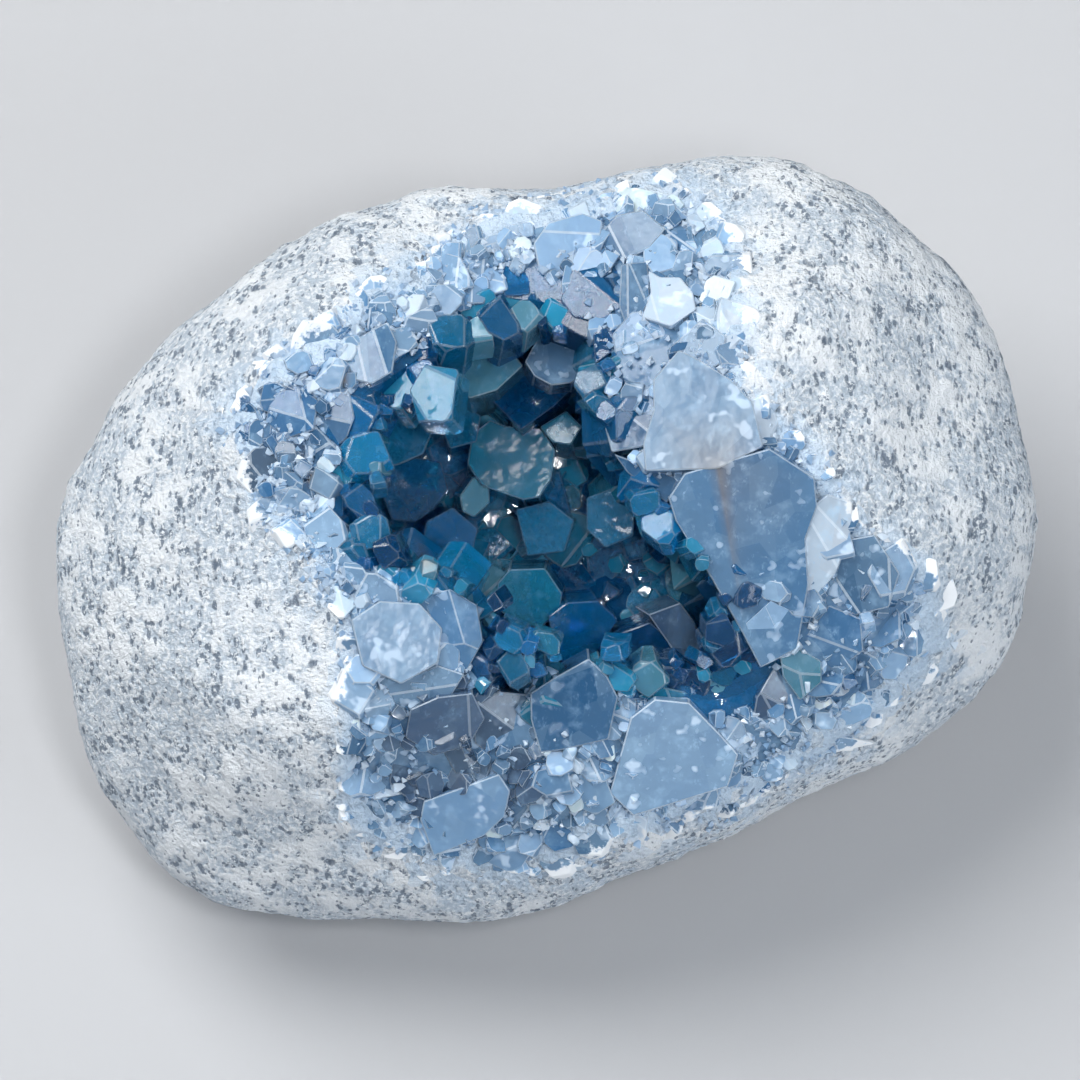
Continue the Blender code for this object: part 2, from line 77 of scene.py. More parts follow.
# Faces that tumbling wore flat: direction round the outline and rise above it, both in degrees, and distance
# from the middle.
WORN_FACES = (
    (165, 48, 52.5),
    (215, 42, 57.5),
    (262, 45, 44.5),
    (25, 44, 56.5),
    (320, 40, 52.5),
    (95, 50, 41.5),
    (120, -35, 55.0),
    (200, -42, 62.0),
    (300, -38, 52.0),
    (20, -40, 62.0),
)
WEAR_SHARPNESS = 26
# Low lumps of the whole stone: their height, and how closely they follow one another.
LUMPS = ((1.3, 2.6), (0.65, 6.0))
# Finer relief: the setting with its height, the size of its grains in metres, its layers and its kind.
RELIEF = (
    ("lump", 0.009, 2, "SOFT_NOISE"),
    ("ledge", 0.0034, 3, "HARD_NOISE"),
    ("grain", 0.0014, 3, "SOFT_NOISE"),
)
# Cells along each side of the mesh that heights and crystals are measured from.
COARSE_CELLS = 56

# The mouth of the hollow and the edge of the white rind: radii every 15 degrees round the mouth's middle.
MOUTH_MIDDLE_MM = (-1.9, 5.4)
MOUTH_MM = (23, 19, 17, 20, 23, 31, 36, 33, 30, 31, 32, 30, 30, 27, 20, 17, 18, 25, 27, 27, 31, 43, 42, 32)
RIND_EDGE_MM = (
    (47, 41, 36, 43, 52, 49, 44.5, 42, 39.5, 39.5, 42, 44)
    + (37, 32, 30, 38, 51, 54, 52, 50, 51, 54, 59, 62)
)
# The hollow: its floor, and how wide it is at a share of the way down, against its mouth.
HOLLOW_FLOOR_MM = -10.0
HOLLOW_PROFILE = (
    ((0.0, 1.0), (0.12, 1.04), (0.28, 1.13))
    + ((0.48, 1.17), (0.68, 1.08), (0.84, 0.86), (0.95, 0.5))
)
LEAST_WALL_MM = 15.0
ABOVE_STONE_MM = 48.0
SEGMENTS = 72
TURNS = [360 * k / SEGMENTS for k in range(SEGMENTS)]
# How far the stone keeps from the hollow, outwards and down.
STONE_CLEAR_MM = (3.5, 3.5)
# How far the broken crystals lie below the stone's surface: at the rind's edge, and at the mouth every 45
# degrees. The bend says how late they drop.
EDGE_DEPTH_MM = 0.9
MOUTH_DEPTH_MM = (3.0, 3.5, 6.0, 5.0, 5.0, 6.0, 9.0, 7.0)
DEPTH_BEND = 1.5
# The layer that they grew from: how far below them, and from where to where round the hollow, outwards and
# down. Above its deep bowl, from this ring on, it fills a dish: shares of the way in from the rind's edge,
# with depths below the stone's surface.
CRUST_BELOW_MM = 0.3
CRUST_CLEAR_MM = (0.8, 0.6)
CRUST_REACH_MM = (6.0, 6.0)
BOWL_FROM_RING = 4
DISH = ((-0.06, 4.0), (0.3, 7.0), (0.7, 10.0), (1.0, 13.0))
LEAST_DISH_MM = 1.0
DISH_OVER_BOWL_MM = 3.0
# Up to this share of the way from the mouth to the rind, it looks as it does in the hollow.
HOLLOW_LOOK_UP_TO = 0.08
# Where the rind gives way to crystals: how far and how closely its edge wanders, over what width the stone
# sinks, how far below them, and over what heights that sets in.
RIND_WANDER = ((2.4, 0.11), (1.2, 0.34))
SINK_WIDTH_MM = 5.0
SINK_BELOW_MM = 2.2
SINK_FROM_MM = -3.0
SINK_OVER_MM = 6.0
# The rind's coat on the crystals: outside its edge, where that starts and over what width, and on the rim.
COAT_OUTSIDE = 0.60
COAT_FROM_MM = -1.5
COAT_OVER_MM = 3.5
COAT_ON_RIM = 0.06
# The stone's blue tinge: over what length it fades, and the height that it stays above.
TINGE_FADES_MM = 5
TINGE_ABOVE_MM = -5
# Brown stains on the crystals and the rind: u, v and reach.
STAINS = ((-29.7, 24.8, 1.6), (-33.5, 10.0, 1.8), (-17.0, -2.7, 1.6), (26.5, 11.5, 2.2))

# Crystals that stand out. Their outlines are points of the picture, each PICTURE_STEP_MM across, counted
# from its left and its top. The point PICTURE_MIDDLE shows the middle of the stone's outline. Then come the
# height w of the top's middle, its slope (rise to the right and rise upwards, as shares), the finish, and
# the depth that its sides go down.
PICTURE_STEP_MM = 0.15
PICTURE_MIDDLE = (543, 547)
IN_HOLLOW = (
    (((476, 437), (491, 425), (506, 431), (539, 433), (551, 452), (547, 479), (537, 494), (524, 496),
     (485, 483), (472, 464)), 4.0, (0.06, -0.2), "teal_clear", 12),
    (((390, 472), (416, 462), (438, 466), (444, 489), (432, 506), (415, 518), (395, 516), (388, 498)),
     5.0, (-0.12, -0.22), "deep_clear", 12),
    (((382, 437), (395, 414), (420, 410), (430, 429), (420, 452), (397, 462), (383, 464)),
     3.4, (-0.2, -0.3), "teal", 12),
    (((462, 496), (474, 479), (487, 489), (488, 502), (474, 515), (464, 510)),
     3.2, (-0.25, 0.1), "pale_clear", 10),
    (((502, 584), (512, 573), (543, 572), (558, 594), (556, 607), (539, 624), (518, 619), (503, 607)),
     7.4, (0.05, 0.22), "teal_clear", 14),
    (((553, 617), (568, 606), (595, 604), (612, 619), (602, 636), (587, 659), (560, 656)),
     9.2, (-0.2, 0.3), "deep_clear", 14),
    (((432, 362), (447, 382), (472, 396), (495, 389), (518, 368), (500, 345), (462, 345)),
     13.0, (0.1, -0.5), "pale_clear", 16),
    (((529, 364), (537, 376), (552, 384), (570, 382), (585, 368), (587, 357), (575, 341), (541, 341)),
     15.0, (-0.1, -0.42), "grey_blue", 18),
    (((493, 385), (527, 372), (571, 387), (550, 406), (522, 426), (493, 397)),
     7.0, (0.1, -0.45), "deep", 14),
    (((543, 428), (566, 414), (579, 428), (570, 443), (554, 441)), 6.0, (0.2, -0.3), "teal_clear", 12),
    (((618, 636), (648, 625), (671, 644), (669, 667), (625, 661)), 11.5, (-0.1, 0.3), "deep", 14),
    (((652, 615), (677, 606), (690, 623), (698, 650), (683, 667), (671, 642)),
     12.0, (-0.35, 0.2), "smoky", 14),
    (((590, 500), (612, 492), (632, 508), (630, 534), (606, 544), (590, 528)),
     3.0, (0.3, -0.1), "teal", 12),
    (((440, 418), (462, 404), (478, 418), (474, 440), (452, 446)), 3.0, (0.0, -0.3), "teal", 12),
    (((520, 512), (548, 505), (570, 522), (562, 548), (530, 552)), 2.0, (0.1, 0.1), "teal", 12),
    (((430, 524), (452, 512), (474, 530), (468, 556), (440, 562), (426, 545)),
     7.0, (-0.2, 0.1), "deep_clear", 12),
)
# Those of the broken rim give, for w, how far the top's middle stands above the broken surface, and their
# slope is on top of that surface's own.
ON_RIM = (
    (((349, 366), (361, 341), (390, 325), (399, 345), (395, 375), (375, 387), (360, 383)),
     1.6, (0.2, -0.2), "grey_blue", 12),
    (((340, 398), (352, 388), (358, 420), (350, 440), (334, 452), (322, 430)),
     0.6, (0.3, -0.1), "blue", 12),
    (((276, 398), (300, 388), (322, 402), (318, 432), (290, 440), (270, 424)),
     0.9, (0.1, -0.1), "blue", 10),
    (((498, 262), (532, 266), (530, 296), (505, 298)), 0.6, (-0.1, -0.3), "deep_clear", 10),
    (((581, 261), (599, 255), (620, 268), (622, 309), (603, 322), (573, 317), (560, 300), (569, 278)),
     1.0, (-0.1, -0.25), "deep_clear", 14),
    (((546, 300), (560, 302), (574, 318), (600, 324), (594, 344), (566, 330), (548, 316)),
     0.5, (0.0, -0.2), "deep", 14),
    (((534, 246), (548, 226), (582, 216), (602, 224), (598, 252), (572, 262), (556, 286), (540, 272)),
     1.4, (-0.2, 0.1), "pale_face", 10),
    (((600, 236), (616, 218), (642, 213), (664, 232), (648, 252), (622, 264), (604, 254)),
     1.3, (0.1, 0.1), "grey_blue", 12),
    (((642, 243), (660, 236), (676, 244), (674, 270), (652, 276), (642, 262)),
     1.5, (0.0, -0.1), "pale_blue", 10),
    (((647, 274), (659, 281), (678, 281), (690, 296), (693, 313), (668, 330), (640, 320), (649, 296)),
     1.9, (0.05, -0.15), "snow", 10),
    (((620, 268), (646, 264), (648, 300), (640, 320), (625, 330), (618, 310)),
     0.9, (-0.2, 0.0), "grey_blue", 12),
    (((620, 309), (640, 320), (668, 330), (675, 350), (666, 363), (655, 389), (642, 393), (613, 378),
     (613, 350)), 0.4, (-0.12, -0.3), "grey_blue", 14),
    (((592, 335), (611, 320), (617, 309), (613, 352), (594, 366)), 0.5, (-0.3, -0.2), "deep", 14),
    (((672, 346), (700, 322), (722, 340), (720, 364), (698, 376), (678, 362)),
     1.0, (0.1, -0.1), "pale_blue", 10),
    (((655, 385), (677, 359), (690, 365), (725, 387), (744, 408), (753, 447), (712, 467), (647, 469),
     (645, 447), (655, 415)), 1.2, (0.06, -0.12), "pale_blue", 14),
    (((603, 428), (616, 413), (649, 415), (651, 447), (610, 454)), 0.5, (0.25, -0.1), "blue", 14),
    (((612, 456), (647, 469), (675, 480), (664, 504), (625, 474)), 0.4, (0.2, 0.2), "blue", 14),
    (((670, 499), (684, 478), (763, 455), (804, 481), (807, 506), (796, 537), (799, 583), (789, 644),
     (758, 660), (743, 631), (710, 573), (676, 519)), 0.5, (-0.04, 0.05), "grey_blue", 16),
    (((682, 506), (733, 504), (735, 537), (712, 552), (687, 532)), 1.0, (-0.04, 0.1), "pale_blue", 6),
    (((742, 622), (766, 600), (790, 612), (784, 652), (758, 664)), 1.0, (-0.1, 0.2), "pale_face", 8),
    (((750, 520), (772, 510), (786, 522), (780, 540), (760, 544)), 0.9, (0.1, 0.1), "pale_face", 6),
    (((801, 511), (822, 496), (847, 504), (845, 532), (830, 573), (801, 609), (796, 573), (796, 540)),
     1.7, (-0.12, 0.1), "snow", 12),
    (((840, 540), (868, 535), (893, 573), (883, 606), (850, 614), (827, 603), (830, 573)),
     0.6, (0.2, 0.1), "grey_blue", 12),
    (((794, 642), (824, 606), (855, 619), (858, 649), (830, 670)), 0.6, (0.2, 0.25), "blue", 12),
    (((776, 654), (794, 647), (817, 660), (817, 680), (796, 698), (779, 675)),
     1.3, (-0.1, 0.1), "pale_clear", 8),
    (((753, 695), (773, 665), (791, 695), (779, 718), (750, 718)), 0.7, (-0.3, 0.3), "smoky", 12),
    (((733, 741), (758, 726), (804, 731), (850, 738), (872, 744), (830, 752), (763, 753)),
     0.9, (0.05, 0.25), "pale_face", 7),
    (((613, 787), (633, 716), (654, 700), (684, 703), (712, 731), (730, 751), (722, 779), (633, 807)),
     1.4, (0.06, 0.12), "pale_face", 12),
    (((636, 694), (658, 684), (690, 692), (684, 702), (652, 700)), 0.4, (0.0, 0.5), "teal_clear", 8),
    (((535, 692), (556, 678), (587, 661), (602, 675), (612, 694), (604, 732), (562, 742), (543, 744),
     (535, 715)), 0.6, (-0.1, 0.3), "blue", 14),
    (((579, 772), (602, 770), (614, 799), (595, 811), (576, 803)), 1.0, (0.2, 0.2), "pale_blue", 8),
    (((426, 814), (430, 799), (498, 774), (506, 786), (502, 809), (483, 828), (437, 847)),
     1.0, (0.05, 0.15), "pale_blue", 9),
    (((413, 706), (440, 694), (474, 690), (486, 716), (470, 742), (436, 752), (408, 734)),
     0.8, (0.05, 0.25), "smoky", 12),
    (((474, 700), (500, 690), (530, 694), (530, 740), (500, 758), (476, 740)),
     0.2, (-0.1, 0.3), "smoky", 12),
    (((396, 752), (420, 744), (452, 754), (446, 786), (414, 800), (392, 780)),
     0.9, (-0.1, 0.1), "smoky", 10),
    (((360, 620), (384, 604), (420, 606), (440, 628), (436, 658), (404, 676), (370, 660)),
     1.5, (-0.1, 0.0), "pale_blue", 12),
    (((424, 596), (452, 588), (478, 604), (484, 640), (468, 668), (440, 660), (438, 626)),
     1.2, (0.3, 0.05), "grey_blue", 12),
    (((372, 664), (404, 678), (440, 664), (466, 672), (452, 694), (410, 704), (380, 692)),
     0.8, (0.05, 0.35), "pale_blue", 12),
)
# The most that they stand above the stone, how upright their sides are, and how much wider their feet.
MOST_PROUD_MM = 3.5
SIDES_UPRIGHT = 2
FOOT_WIDENS = 0.06
# How much of the broken surface's slope they follow, and how far from their middle it is measured.
SLOPE_SHARE = 0.8
SLOPE_REACH_MM = 3.0
# From this width on, those of the rim are whole. A whole one has a rim round its face, this wide and high,
# but at most this share of its width, and it is lower where the crystal is narrower than FULL_RIM_MM.
LEAST_WHOLE_MM = 10.5
STANDING_RIM_MM = (0.9, 0.6)
MOST_RIM = 0.12
FULL_RIM_MM = 8
STANDING_BEVEL_MM = 0.2
# The others are broken across: how often, within what turn, how steeply, and how far out, as a share.
BREAKS = 2
BREAK_TURN_DEG = 100
BREAK_SLOPES_DEG = (6, 20)
BREAK_OUT = (0.16, 0.42)

# Crystals scattered between them, for each layer: how many tries, how far apart, how wide, how far the tops
# stand above the layer's surface, how much they lean, and how deep they are rooted.
RIM_LAYERS = (
    (900, 6.0, (6.0, 8.6), (0.5, 1.7), 16, 6.0),
    (5000, 3.1, (3.4, 5.4), (0.5, 1.8), 24, 4.0),
    (12000, 1.7, (1.8, 3.0), (0.4, 1.5), 32, 2.6),
)
LINING_LAYERS = (
    (1800, 6.0, (7.0, 9.6), (1.0, 3.4), 14, 6.0),
    (5000, 3.5, (4.0, 6.2), (0.8, 3.0), 20, 4.5),
    (9000, 2.1, (2.0, 3.4), (0.8, 2.2), 30, 3.0),
)
# How narrow they may be one way, and how near they come to those that stand out, both against their width.
NARROWER = (0.68, 1.0)
RIM_NEARS = 0.26
LINING_NEARS = 0.3
HIDES_FROM_MM = 0.5
# On the rim: how far past the rind's edge they are tried and kept, and how far they lean out with the stone.
RIM_TRIED_MM = 2.0
RIM_KEPT_MM = 0.8
RIM_FOLLOWS = 0.6
# In the hollow: the share of the way down, its bend and limits, where the floor starts and how uneven it is,
# the steps that the wall's direction is measured over, and how far up the crystals on it turn.
DOWN_FROM = 0.03
DOWN_BEND = 1.35
DOWN_MIN, DOWN_MAX = 0.04, 0.93
FLOOR_FROM = 0.8
FLOOR_RISE_MM = 1.5
WALL_TURN_DEG = 6
WALL_STEP = 0.03
WALL_TURNS_UP = 1.3
# Where the rim's crystals are darker: u, v, reach and the finishes there.
DARKER_PLACES = (
    (-11, -30, 12, ("smoky", "smoky", "smoky", "grey_blue")),
    (-40, 17, 9, ("blue", "blue", "grey_blue", "smoky")),
    (46, -12, 8, ("blue", "grey_blue", "pale_blue")),
)

# Their forms, a unit wide: how many, and how many blocky ones are used among the broken.
BLOCKY_FORMS = 14
CHISEL_FORMS = 8
BROKEN_FORMS = 14
BLOCKY_AMONG_BROKEN = 4
FORM_BEVEL = 0.028
FORM_WELD = 0.004
# How corners, shoulders and broken tops are cut: turn either way in degrees, how far out or down, and slope.
CORNER_TURN_DEG = 22
CORNER_OUT = (0.66, 0.9)
CORNER_LEAN = 0.15
SHOULDER_TURN_DEG = 24
SHOULDER_OUT = (0.42, 0.85)
SHOULDER_SLOPES_DEG = (28, 58)
BROKEN_DOWN = (-0.14, -0.03)
BROKEN_SLOPES_DEG = (6, 30)

# Splinters: how many, their size, how far onto the rind, how far they lean, are raised for their size, and
# are sunk into the rind. From a least share they grow denser: from how far inside the rind, over what width.
CHIP_COUNT = 3000
CHIP_MM = (0.4, 1.5)
CHIP_REACH_MM = 3.5
CHIP_LEAN_DEG = 60
CHIP_RAISED = 0.3
CHIP_SUNK_MM = 0.4
CHIP_LEAST = 0.2
CHIP_DENSER_MM = (-14, 12)
# A splinter's shape, a unit in size: four corners round it, at a turn either way and a distance, then a tip.
CHIP_TURN_DEG = 30
CHIP_OUT = (0.35, 0.75)
CHIP_CORNER_RISE = (-0.2, 0.1)
CHIP_TIP_ASIDE = 0.25
CHIP_TIP_RISE = (0.25, 0.6)
CHIP_ROOT = (0, 0, -0.6)
CHIP_SIDES = [(k, (k + 1) % 4, 4) for k in range(4)] + [((k + 1) % 4, k, 5) for k in range(4)]

# Finishes of crystals: body colour, cloudiness (0 clear, 1 milky) and roughness.
FINISHES = {
    "deep": ((0.001, 0.140, 0.400), 0.10, 0.05),
    "deep_clear": ((0.002, 0.230, 0.580), 0.15, 0.05),
    "teal": ((0.002, 0.320, 0.660), 0.18, 0.08),
    "teal_clear": ((0.020, 0.420, 0.720), 0.28, 0.10),
    "pale_clear": ((0.140, 0.480, 0.680), 0.38, 0.10),
    "smoky": ((0.085, 0.160, 0.290), 0.50, 0.14),
    "blue": ((0.040, 0.170, 0.380), 0.50, 0.15),
    "grey_blue": ((0.095, 0.240, 0.450), 0.65, 0.20),
    "pale_blue": ((0.200, 0.380, 0.620), 0.75, 0.26),
    "pale_face": ((0.260, 0.440, 0.680), 0.80, 0.24),
    "snow": ((0.660, 0.780, 0.920), 0.95, 0.35),
}
LINING_MIX = ("deep",) * 3 + ("deep_clear",) * 3 + ("teal",) * 5 + ("teal_clear",) * 4 + ("pale_clear",)
RIM_MIX = ("grey_blue",) * 4 + ("pale_blue",) * 6 + ("pale_face",) * 5 + ("snow",) * 4 + ("blue",)
# How far one crystal differs from another of its finish: in shade, cloudiness and roughness.
SHADE_SPREAD = 0.28
PALEST = 0.95
CLOUD_SPREAD = 0.08
ROUGH_SPREAD = (0.7, 1.4)
# How much light goes through a crystal, but for what its clouds, veils and coat take away.
CLEARNESS = 0.8

# The stage, in metres. The floor's darker patches have a share of its colour, and the fill light has a share
# of the key light's power. Each light has a place, a width and a tint.
FLOOR_WIDTH = 8
FLOOR_ROUGHNESS = 0.9
DARKER_SHARE = 0.96
KEY_LIGHT = ((-0.45, 0.35, 0.95), 0.85, (1.0, 0.99, 0.97))
SPARKLE_LIGHT = ((0.12, -0.34, 1.0), 0.16, (1.0, 1.0, 1.0))
FILL_LIGHT = ((0.7, -0.5, 0.5), 0.6, (0.92, 0.96, 1.0))
FILL_SHARE = 0.25
SKY_TINT = (0.86, 0.92, 1.0, 1)
# Where the camera looks, in millimetres of the opening's frame, and how far it sees.
LOOKED_AT_MM = (-0.45, 1.05, 0)
SEES_UP_TO = 10
LIGHT_PATHS = {
    "max_bounces": 6,
    "transmission_bounces": 5,
    "glossy_bounces": 2,
    "diffuse_bounces": 2,
    "adaptive_threshold": 0.25,
    "adaptive_min_samples": 8,
}


def colour(name, description, default):
    return FloatVectorProperty(
        name=name, description=description, default=default, subtype="COLOR", size=3, min=0, max=1
    )


def length(name, description, default):
    return FloatProperty(name=name, description=description, default=default, min=0, unit="LENGTH")


def number(name, description, default, least=0):
    return FloatProperty(name=name, description=description, default=default, min=least)


class StoneSettings(bpy.types.PropertyGroup):
    """Sizes and colours of the stone."""

    white: colour("White", "The stone's palest colour", (0.83, 0.87, 0.91))
    grey: colour("Grey", "Where the stone is darker", (0.46, 0.54, 0.63))
    # The speck colour also paints the shade in the rind's pits.
    speck: colour("Speck", "The dark specks", (0.10, 0.14, 0.20))
    stain: colour("Stain", "Brown stain in a few places", (0.42, 0.27, 0.12))
    near_crystals: colour("Near the crystals", "The blue tinge of the stone round them", (0.52, 0.68, 0.86))
    lump: length("Lumps", "Height of the lumps", 0.0012)
    ledge: length("Ledges", "Height of the ledges", 0.0007)
    grain: length("Grain", "Height of the coarse grain", 0.00035)
    cells: IntProperty(name="Cells", description="Cells along each side of the mesh", default=116, min=20)


class CrystalSettings(bpy.types.PropertyGroup):
    """Colours of the crystals and how light goes through them."""

    deep_absorbs: colour("Absorbs", "Colour left to light that goes through them", (0.30, 0.70, 0.92))
    deep_density: number("Density", "How fast they absorb, for each metre", 45)
    refraction: number("Index of refraction", "Of celestite", 1.62, 1)
    # Besides real frost, this colour paints a highlight onto the crystals' bevelled edges.
    frost_and_edge_highlight: colour("Frost", "Chipped edges and crushed spots", (0.70, 0.82, 0.95))
    veil: colour("Veil", "The milky clouds inside the crystals", (0.45, 0.68, 0.90))


class StageSettings(bpy.types.PropertyGroup):
    """The floor, the lights and the camera."""

    floor: colour("Floor", "The floor's colour", (0.52, 0.53, 0.55))
    key: number("Key light", "Power of the large light", 11.5)
    sparkle: number("Sparkle light", "Power of the small light", 3.0)
    sky: number("Sky", "Strength of the light from all round", 0.28)
    distance: length("Camera distance", "From the camera to the stone's middle", 1.5)
    picture: length("Picture width", "What the picture spans at the stone's middle", 0.162)


def unit(degrees):
    return Vector((math.cos(math.radians(degrees)), math.sin(math.radians(degrees))))


def around(values, degrees):
    """The value at this angle, on a smooth closed curve through values at equal steps round a circle."""
    place = (degrees % 360) / 360 * len(values)
    k, f = int(place), place - int(place)
    a, b, c, d = (values[(k + i) % len(values)] for i in (-1, 0, 1, 2))
    return b + 0.5 * f * (c - a + f * (2 * a - 5 * b + 4 * c - d + f * (3 * (b - c) + d - a)))


def along(profile, share):
    """The second number of profile's pairs where the first is share, on straight lines between them."""
    for (x0, y0), (x1, y1) in zip(profile, profile[1:]):
        if share <= x1:
            return y0 + (y1 - y0) * (share - x0) / (x1 - x0)
    return profile[-1][1]


def eased(x):
    x = min(max(x, 0.0), 1.0)
    return x * x * (3 - 2 * x)


def mouth_to_world():
    """The turn and shift from the opening's frame to the row frame, both in millimetres."""
    return Matrix.Translation(STONE_MIDDLE_MM) @ Matrix.Rotation(math.radians(MOUTH_TILT_DEG), 4, "X")


def to_row_frame():
    """From millimetres in the opening's frame to metres in the row frame."""
    return Matrix.Scale(MM, 4) @ mouth_to_world()


def stone_point(direction):
    """The stone's surface in this direction from its middle, in the opening's frame."""
    d = direction.normalized()
    outline = around(OUTLINE_MM, math.degrees(math.atan2(d.y, d.x)))
    height = CROWN_MM if d.z > 0 else KEEL_MM
    curve = (d.xy.length / outline) ** FULLNESS + (abs(d.z) / height) ** FULLNESS
    inverse = curve ** (WEAR_SHARPNESS / FULLNESS)
    for facing, distance in WORN_DIRECTIONS:
        inverse += (max(d.dot(facing), 0.0) / distance) ** WEAR_SHARPNESS
    lumps = sum(height * noise.noise(d * across) for height, across in LUMPS)
    return d * (inverse ** (-1 / WEAR_SHARPNESS) + lumps)


def worn_direction(turn, rise):
    flat = unit(turn) * math.cos(math.radians(rise))
    return Vector((flat.x, flat.y, math.sin(math.radians(rise))))


WORN_DIRECTIONS = [(worn_direction(turn, rise), distance) for turn, rise, distance in WORN_FACES]


def mouth_polar(u, v):
    """Distance from the mouth's middle, and direction from it, of a point of the opening's frame."""
    place = Vector((u, v)) - Vector(MOUTH_MIDDLE_MM)
    return place.length, math.degrees(math.atan2(place.y, place.x))


def mouth_point(radius, turn):
    return Vector(MOUTH_MIDDLE_MM) + unit(turn) * radius


def rim_share(u, v):
    """0 at the mouth's edge and 1 at the rind's, less than 0 over the hollow and more than 1 on the rind."""
    radius, turn = mouth_polar(u, v)
    mouth = around(MOUTH_MM, turn)
    return (radius - mouth) / (around(RIND_EDGE_MM, turn) - mouth)


def past_rind(u, v):
    """How far a point lies outside the rind's edge, which wanders."""
    radius, turn = mouth_polar(u, v)
    wander = sum(height * noise.noise(Vector((u, v, 3.0)) * pace) for height, pace in RIND_WANDER)
    return radius - around(RIND_EDGE_MM, turn) + wander


def broken_depth(u, v):
    """How far the broken crystals lie below the stone's surface at this point of the opening's frame."""
    share = min(max(rim_share(u, v), 0.0), 1.0)
    inner = around(MOUTH_DEPTH_MM, mouth_polar(u, v)[1])
    return EDGE_DEPTH_MM + (inner - EDGE_DEPTH_MM) * (1 - share) ** DEPTH_BEND


def broken_point(point, further=0.0):
    """Where a point of the whole stone's surface lies once the crystals are broken off there."""
    return point * (1 - (broken_depth(point.x, point.y) + further) / point.length)


class Surface:
    """The stone over a point (u, v) of the opening's frame: its height, whole or broken, and its normal."""

    def __init__(self, points, faces):
        self.tree = BVHTree.FromPolygons(points, faces)
        self.broken_tree = BVHTree.FromPolygons([broken_point(point) for point in points], faces)

    def height(self, u, v):
        return height_on(self.tree, u, v)

    def broken_height(self, u, v):
        return height_on(self.broken_tree, u, v)

    def normal(self, u, v, step=2.0):
        right = Vector((2 * step, 0, self.height(u + step, v) - self.height(u - step, v)))
        up = Vector((0, 2 * step, self.height(u, v + step) - self.height(u, v - step)))
        return right.cross(up).normalized()


def within_stone(place, w):
    """The place, drawn in to leave a wall of stone and crystal outside it at this height."""
    outline = around(OUTLINE_MM, math.degrees(math.atan2(place.y, place.x)))
    height = CROWN_MM if w > 0 else KEEL_MM
    narrowing = max(1 - (abs(w) / height) ** FULLNESS, 0.0) ** (1 / FULLNESS)
    most = max(outline * narrowing - LEAST_WALL_MM, 0.0)
    return place * min(1.0, most / place.length)


def hollow_point(surface, turn, share):
    """The hollow's wall in this direction, at this share of the way down from the mouth to the floor."""
    edge = mouth_point(around(MOUTH_MM, turn), turn)
    top = surface.height(*edge)
    place = mouth_point(around(MOUTH_MM, turn) * along(HOLLOW_PROFILE, share), turn)
    w = top + (HOLLOW_FLOOR_MM - top) * share
    if share > 0:
        place = within_stone(place, w)
    return Vector((place.x, place.y, w))


def height_on(tree, u, v):
    hit = tree.ray_cast(Vector((u, v, ABOVE_STONE_MM)), -UP)[0]
    return hit.z if hit else 0.0


def hollow_rings(surface, outwards, deeper):
    """The hollow from above the stone down to its floor, made wider and deeper by these lengths."""
    rings = []
    for share, _ in HOLLOW_PROFILE:
        ring = []
        for turn in TURNS:
            point = hollow_point(surface, turn, share)
            radius, at = mouth_polar(point.x, point.y)
            ring.append(Vector((*mouth_point(radius + outwards, at), point.z - deeper * share)))
        rings.append(ring)
    return [above_stone(rings[0])] + rings


def above_stone(ring):
    return [Vector((point.x, point.y, ABOVE_STONE_MM)) for point in ring]


def crust_limit_rings(surface):
    """What the layer of crystals may fill: a shallow dish out to the rind's edge, over a deep bowl."""
    bowl = hollow_rings(surface, *CRUST_REACH_MM)[BOWL_FROM_RING:]
    dish = []
    for inwards, drop in DISH:
        ring = []
        for turn, below in zip(TURNS, bowl[0]):
            edge = around(RIND_EDGE_MM, turn)
            inner = min(around(MOUTH_MM, turn) + CRUST_REACH_MM[0], edge - LEAST_DISH_MM)
            place = mouth_point(edge + (inner - edge) * inwards, turn)
            w = max(surface.height(*place) - drop, below.z + DISH_OVER_BOWL_MM)
            ring.append(Vector((place.x, place.y, w)))
        dish.append(ring)
    return [above_stone(dish[0])] + dish + bowl


def loft(name, rings):
    """A closed mesh object through rings of equal length, each end closed by a fan, in the row frame."""
    count = len(rings[0])
    points = [point for ring in rings for point in ring]
    faces = []
    for level in range(len(rings) - 1):
        for k in range(count):
            a, b = level * count + k, level * count + (k + 1) % count
            faces += [(a, a + count, b + count), (a, b + count, b)]
    for first in (0, len(points) - count):
        faces += [(first + k, first + (k + 1) % count, len(points) + (first > 0)) for k in range(count)]
    middles = [sum(ring, Vector()) / count for ring in (rings[0], rings[-1])]
    return mesh_object(name, points + middles, faces)


def mesh_object(name, points, faces, matrix=None):
    """A mesh object from points in the opening's frame, in millimetres, with its faces pointing out."""
    mesh = bpy.data.meshes.new(name)
    mesh.from_pydata([tuple(point) for point in points], [], faces)
    mesh.transform(matrix or to_row_frame())
    obj = bpy.data.objects.new(name, mesh)
    bpy.context.scene.collection.objects.link(obj)
    with all_in_edit_mode(obj):
        bpy.ops.mesh.normals_make_consistent(inside=False)
    return obj


def select_only(obj):
    bpy.ops.object.select_all(action="DESELECT")
    obj.select_set(True)
    bpy.context.view_layer.objects.active = obj


@contextmanager
def all_in_edit_mode(obj):
    """Edits the object, with all of its mesh selected at the start."""
    select_only(obj)
    bpy.ops.object.mode_set(mode="EDIT")
    bpy.ops.mesh.select_all(action="SELECT")
    yield
    bpy.ops.object.mode_set(mode="OBJECT")


def points_of(mesh):
    points = np.empty(len(mesh.vertices) * 3)
    mesh.vertices.foreach_get("co", points)
    return points.reshape(-1, 3)


